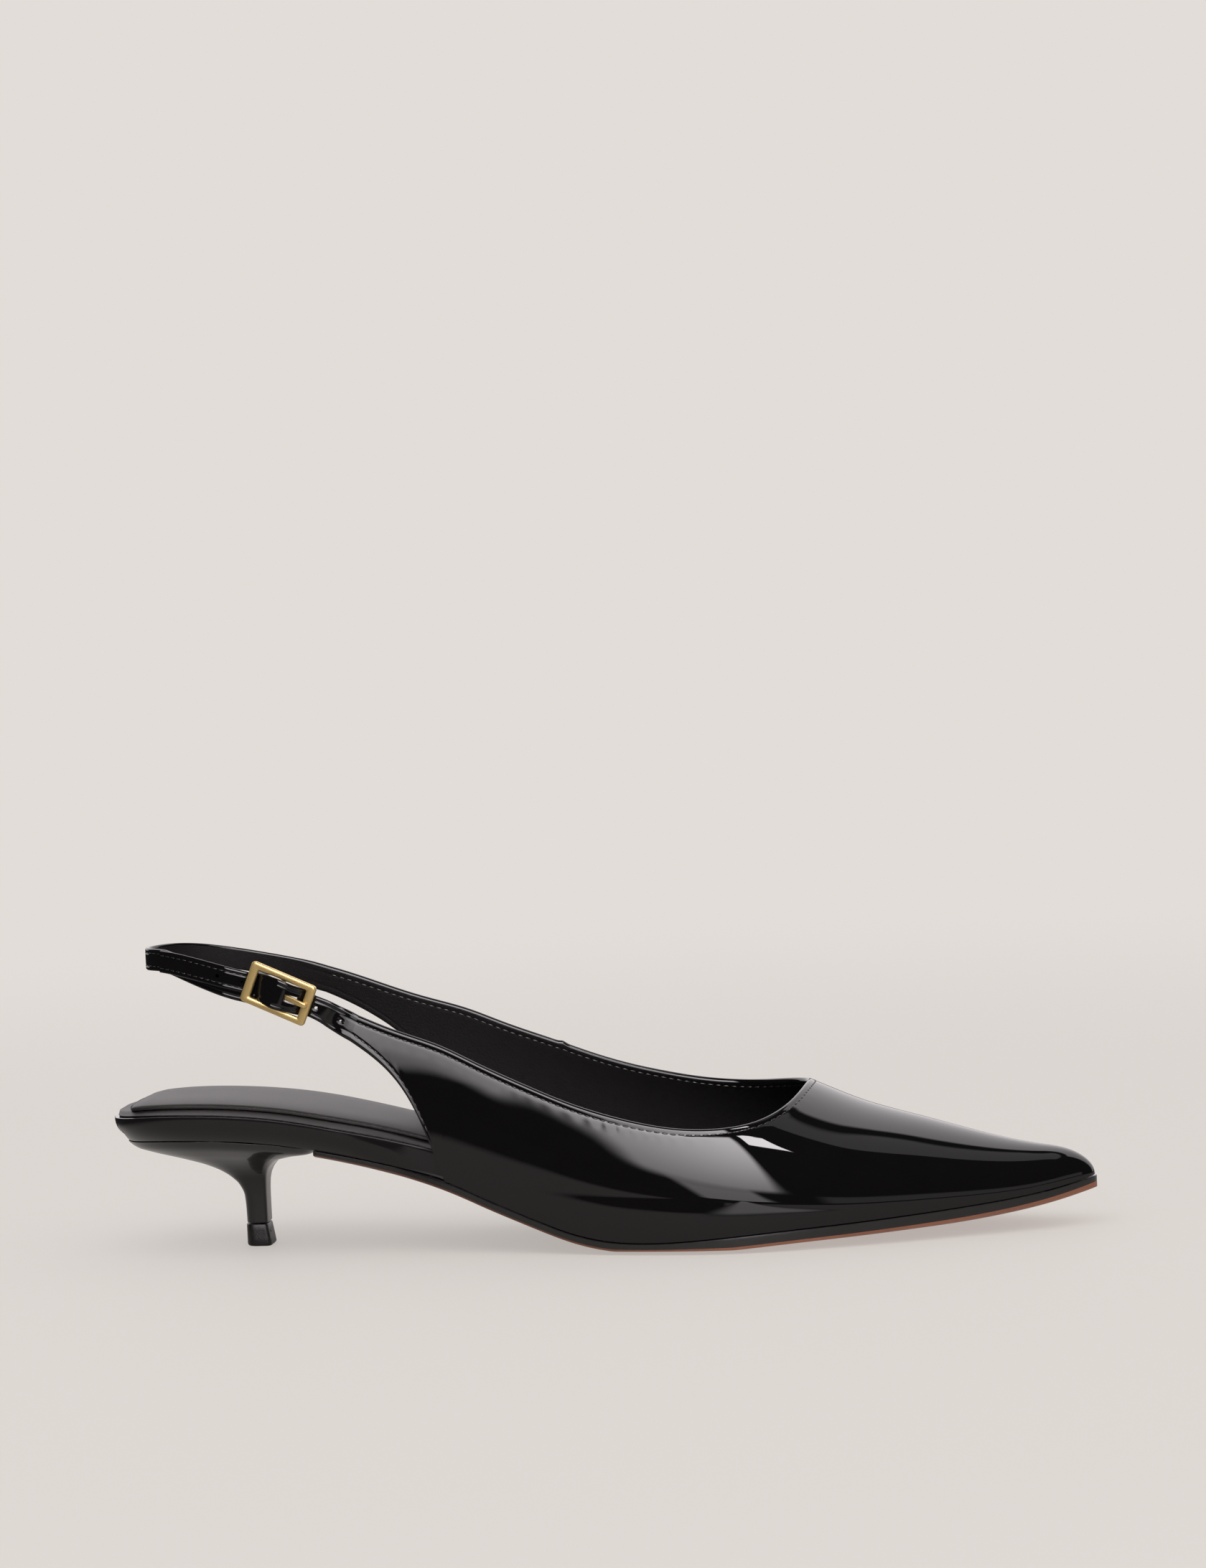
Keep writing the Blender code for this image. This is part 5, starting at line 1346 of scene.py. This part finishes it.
def makeBuckleFrame():
    _, along, across, normal = lineFrame(strapLine, 0.0)
    steps = np.linspace(0, 2 * math.pi, 25)[:-1]
    power = 2 / buckleLook["squareness"]
    inset = 0.5 - 0.5 * np.sign(np.cos(steps)) * np.abs(np.cos(steps)) ** power
    level = np.sign(np.sin(steps)) * np.abs(np.sin(steps)) ** power
    rings = []
    for share, high in zip(inset, level):
        radius = max(buckleLook["corner"] - buckleLook["cornerLoss"] * share, buckleLook["cornerLeast"])
        outline = roundedRectangle(buckleLook["length"] / 2 - buckleLook["endBar"] * share,
                                   buckleHeight / 2 - buckleLook["rail"] * share, radius)
        rings.append(strapLine["middle"] + outline[:, :1] * along + outline[:, 1:] * across
                     + normal * (frameOut + high * buckleLook["depth"] / 2))
    rings = np.array(rings)
    count, ring = rings.shape[:2]
    points = [rings.reshape(-1, 3)]
    faces = gridFaces(count, ring, closeColumns=True, closeRows=True)
    bar = strapLine["middle"] + normal * barOut
    reach = across * (buckleHeight / 2 - buckleLook["rail"] / 2)
    sides = buckleLook["barSides"]
    circle = circleOf(along, normal, buckleLook["barRadius"], sides)
    points += [bar - reach + circle, bar + reach + circle]
    a = count * ring
    b = a + sides
    faces += [(a + k, a + (k + 1) % sides, b + (k + 1) % sides, b + k) for k in range(sides)]
    faces += [tuple(range(a, b))[::-1], tuple(range(b, b + sides))]
    return shoeMesh("buckleFrame", np.concatenate(points), faces, (gold,), None, 50)


def makeProng():
    _, along, across, normal = lineFrame(strapLine, 0.0)
    bar = strapLine["middle"] + normal * barOut
    rest = frameOut + buckleLook["depth"] / 2 + gap + buckleLook["prongDepth"] / 2
    tipAt = endBarAt + buckleLook["endBar"] * buckleLook["prongOver"]
    taper = buckleLook["prongTaper"]
    rows = []
    for angle in np.linspace(math.radians(buckleLook["hookStart"]), math.pi / 2, 25):
        rows.append((bar + ringRadius * (normal * math.sin(angle) - along * math.cos(angle)), across,
                     buckleLook["prongWidth"], buckleLook["prongDepth"], 0.0))
    for share in np.linspace(0, 1, 19)[1:]:
        rise = (share - buckleLook["prongRise"]) / (buckleLook["prongLands"] - buckleLook["prongRise"])
        out = ringRadius + barOut + (rest - ringRadius - barOut) * float(smoothStep(rise))
        past = max(0.0, (share - buckleLook["tipFrom"]) / (1 - buckleLook["tipFrom"]))
        tip = math.sqrt(max(0.04, 1 - past ** 2))
        wide = buckleLook["prongWidth"] * (1 - taper * share) * tip
        deep = buckleLook["prongDepth"] * (1 - taper / 2 * share) * tip
        rows.append((strapLine["middle"] + along * tipAt * share + normal * out, across, wide, deep, 0.0))
    return bandSweep("buckleProng", rows, (gold,))


dress(makeSlingStrap(), ["sling_strap"])
dress(makeBuckledStrap(), ["buckle_strap"])
dress(makeBuckleFrame(), ["buckle_frame"])
dress(makeProng(), ["buckle_prong"])
print("straps and buckle ready")

# stitches
stitchLook = {"spacing": 0.0022, "length": 0.0017, "thickness": 0.00046, "edgeIn": 0.0021, "strapIn": 0.0013,
              "strapSink": 0.00004, "fineSpacing": 0.0019, "fineLength": 0.0014, "fineThickness": 0.0003,
              "rowEnd": 0.004, "toplineSteps": 900, "lineSteps": 120, "rootClear": 0.012,
              "barClear": 0.0015, "tipClear": 0.001, "tailClear": 0.002}


def makeStitchTree():
    # one small thread along a line at every step
    tree, source, result = newGroup(
        "stitchRow", "GeometryNodeTree",
        {"Geometry": "Geometry", "Spacing": "Float", "Length": "Float", "Thickness": "Float",
         "Thread": "Material"}, {"Geometry": "Geometry"})
    curve = addNode(tree, "GeometryNodeMeshToCurve", {"Mesh": source["Geometry"]}).outputs["Curve"]
    steps = addNode(tree, "GeometryNodeCurveToPoints", {"Curve": curve, "Length": source["Spacing"]},
                    mode="LENGTH").outputs
    ball = addNode(tree, "GeometryNodeMeshUVSphere", {"Segments": 8, "Rings": 6, "Radius": 0.5})
    size = addNode(tree, "ShaderNodeCombineXYZ",
                   {"X": source["Thickness"], "Y": source["Thickness"], "Z": source["Length"]})
    inputs = {"Points": steps["Points"], "Rotation": steps["Rotation"], "Scale": size.outputs["Vector"],
              "Instance": ball.outputs["Mesh"]}
    threads = addNode(tree, "GeometryNodeInstanceOnPoints", inputs).outputs["Instances"]
    for kind in ("GeometryNodeRealizeInstances", "GeometryNodeSetShadeSmooth"):
        threads = addNode(tree, kind, {"Geometry": threads}).outputs["Geometry"]
    paint = addNode(tree, "GeometryNodeSetMaterial", {"Geometry": threads, "Material": source["Thread"]})
    tree.links.new(paint.outputs["Geometry"], result["Geometry"])
    return tree


stitchTree = makeStitchTree()


def stitchRow(name, lines, fine=False):
    points, edges = [], []
    for line in lines:
        start = len(points)
        points += [tuple(np.asarray(point) - np.array([midShift, 0, 0])) for point in line]
        edges += [(start + k, start + k + 1) for k in range(len(line) - 1)]
    mesh = bpy.data.meshes.new(name)
    mesh.from_pydata(points, edges, [])
    item = addItem(name, mesh)
    modifier = item.modifiers.new("stitches", "NODES")
    modifier.node_group = stitchTree
    sizes = ("fineSpacing", "fineLength", "fineThickness") if fine else ("spacing", "length", "thickness")
    values = dict(zip(("Spacing", "Length", "Thickness"), [stitchLook[key] for key in sizes]), Thread=thread)
    for socket in stitchTree.interface.items_tree:
        if socket.in_out == "INPUT" and socket.name in values:
            modifier[socket.identifier] = values[socket.name]
    settled(item)
    return dress(item, [])


def wallLine(stops, fromTop, inward=False):
    # a line on the upper at a distance from its topline, or from its foot
    down, outside, inside = wallSurfaces(stops)
    face = inside if inward else outside
    line = []
    for k in range(len(stops)):
        at = fromTop if fromTop > 0 else down[k, -1] + fromTop
        line.append([np.interp(at, down[k], face[k, :, axis]) for axis in range(3)])
    return np.array(line)


rowStart, rowEnd = stitchLook["rowEnd"], 1 - stitchLook["rowEnd"]
topline = np.linspace(rowStart, rowEnd, stitchLook["toplineSteps"])
stitchRow("toplineStitches", [wallLine(topline, stitchLook["edgeIn"])])
stitchRow("liningStitches", [wallLine(topline, stitchLook["edgeIn"], True)])
fade = 0.4 * upperLook["cornerFade"] / toplineLength
rears = [np.linspace(rowStart, runOuter - fade, stitchLook["lineSteps"]),
         np.linspace(runInner + fade, rowEnd, stitchLook["lineSteps"])]
stitchRow("rearEdgeStitches", [wallLine(rear, -stitchLook["edgeIn"]) for rear in rears])
padX, padOuter, padInner = padSides(padLook["pressAt"])
padEdge = np.concatenate([padOuter, padInner[::-1], padOuter[:1]])
padX = np.concatenate([padX, padX[::-1], padX[:1]])
padZ = padCrown(padX, np.full(len(padX), 1 - padLook["pressAt"] / (last["seatWidth"] / 2)))
stitchRow("padStitches", [np.column_stack([padEdge, padZ])])


def strapEdges(start, end, outAt):
    # a line along each edge of a strap
    lines = []
    for side in (-1, 1):
        line = []
        for distance in np.linspace(start, end, stitchLook["lineSteps"]):
            point, _, across, normal = lineFrame(strapLine, distance)
            over = side * (lineWidth(strapLine, distance) / 2 - stitchLook["strapIn"])
            out = outAt(distance) + thick / 2 - stitchLook["strapSink"]
            line.append(point + normal * out + across * over)
        lines.append(line)
    return lines


nearBar = endBarAt + stitchLook["barClear"]
edges = strapEdges(strapLine["outerEnd"] - stitchLook["rootClear"], nearBar, buckledOut)
edges += strapEdges(-nearBar, -strapLook["tail"] + stitchLook["tipClear"], buckledOut)
edges += strapEdges(-strapLook["tail"] - stitchLook["tailClear"],
                    strapLine["innerEnd"] + stitchLook["rootClear"], slingOut)
stitchRow("strapStitches", edges, True)
print("stitches ready")
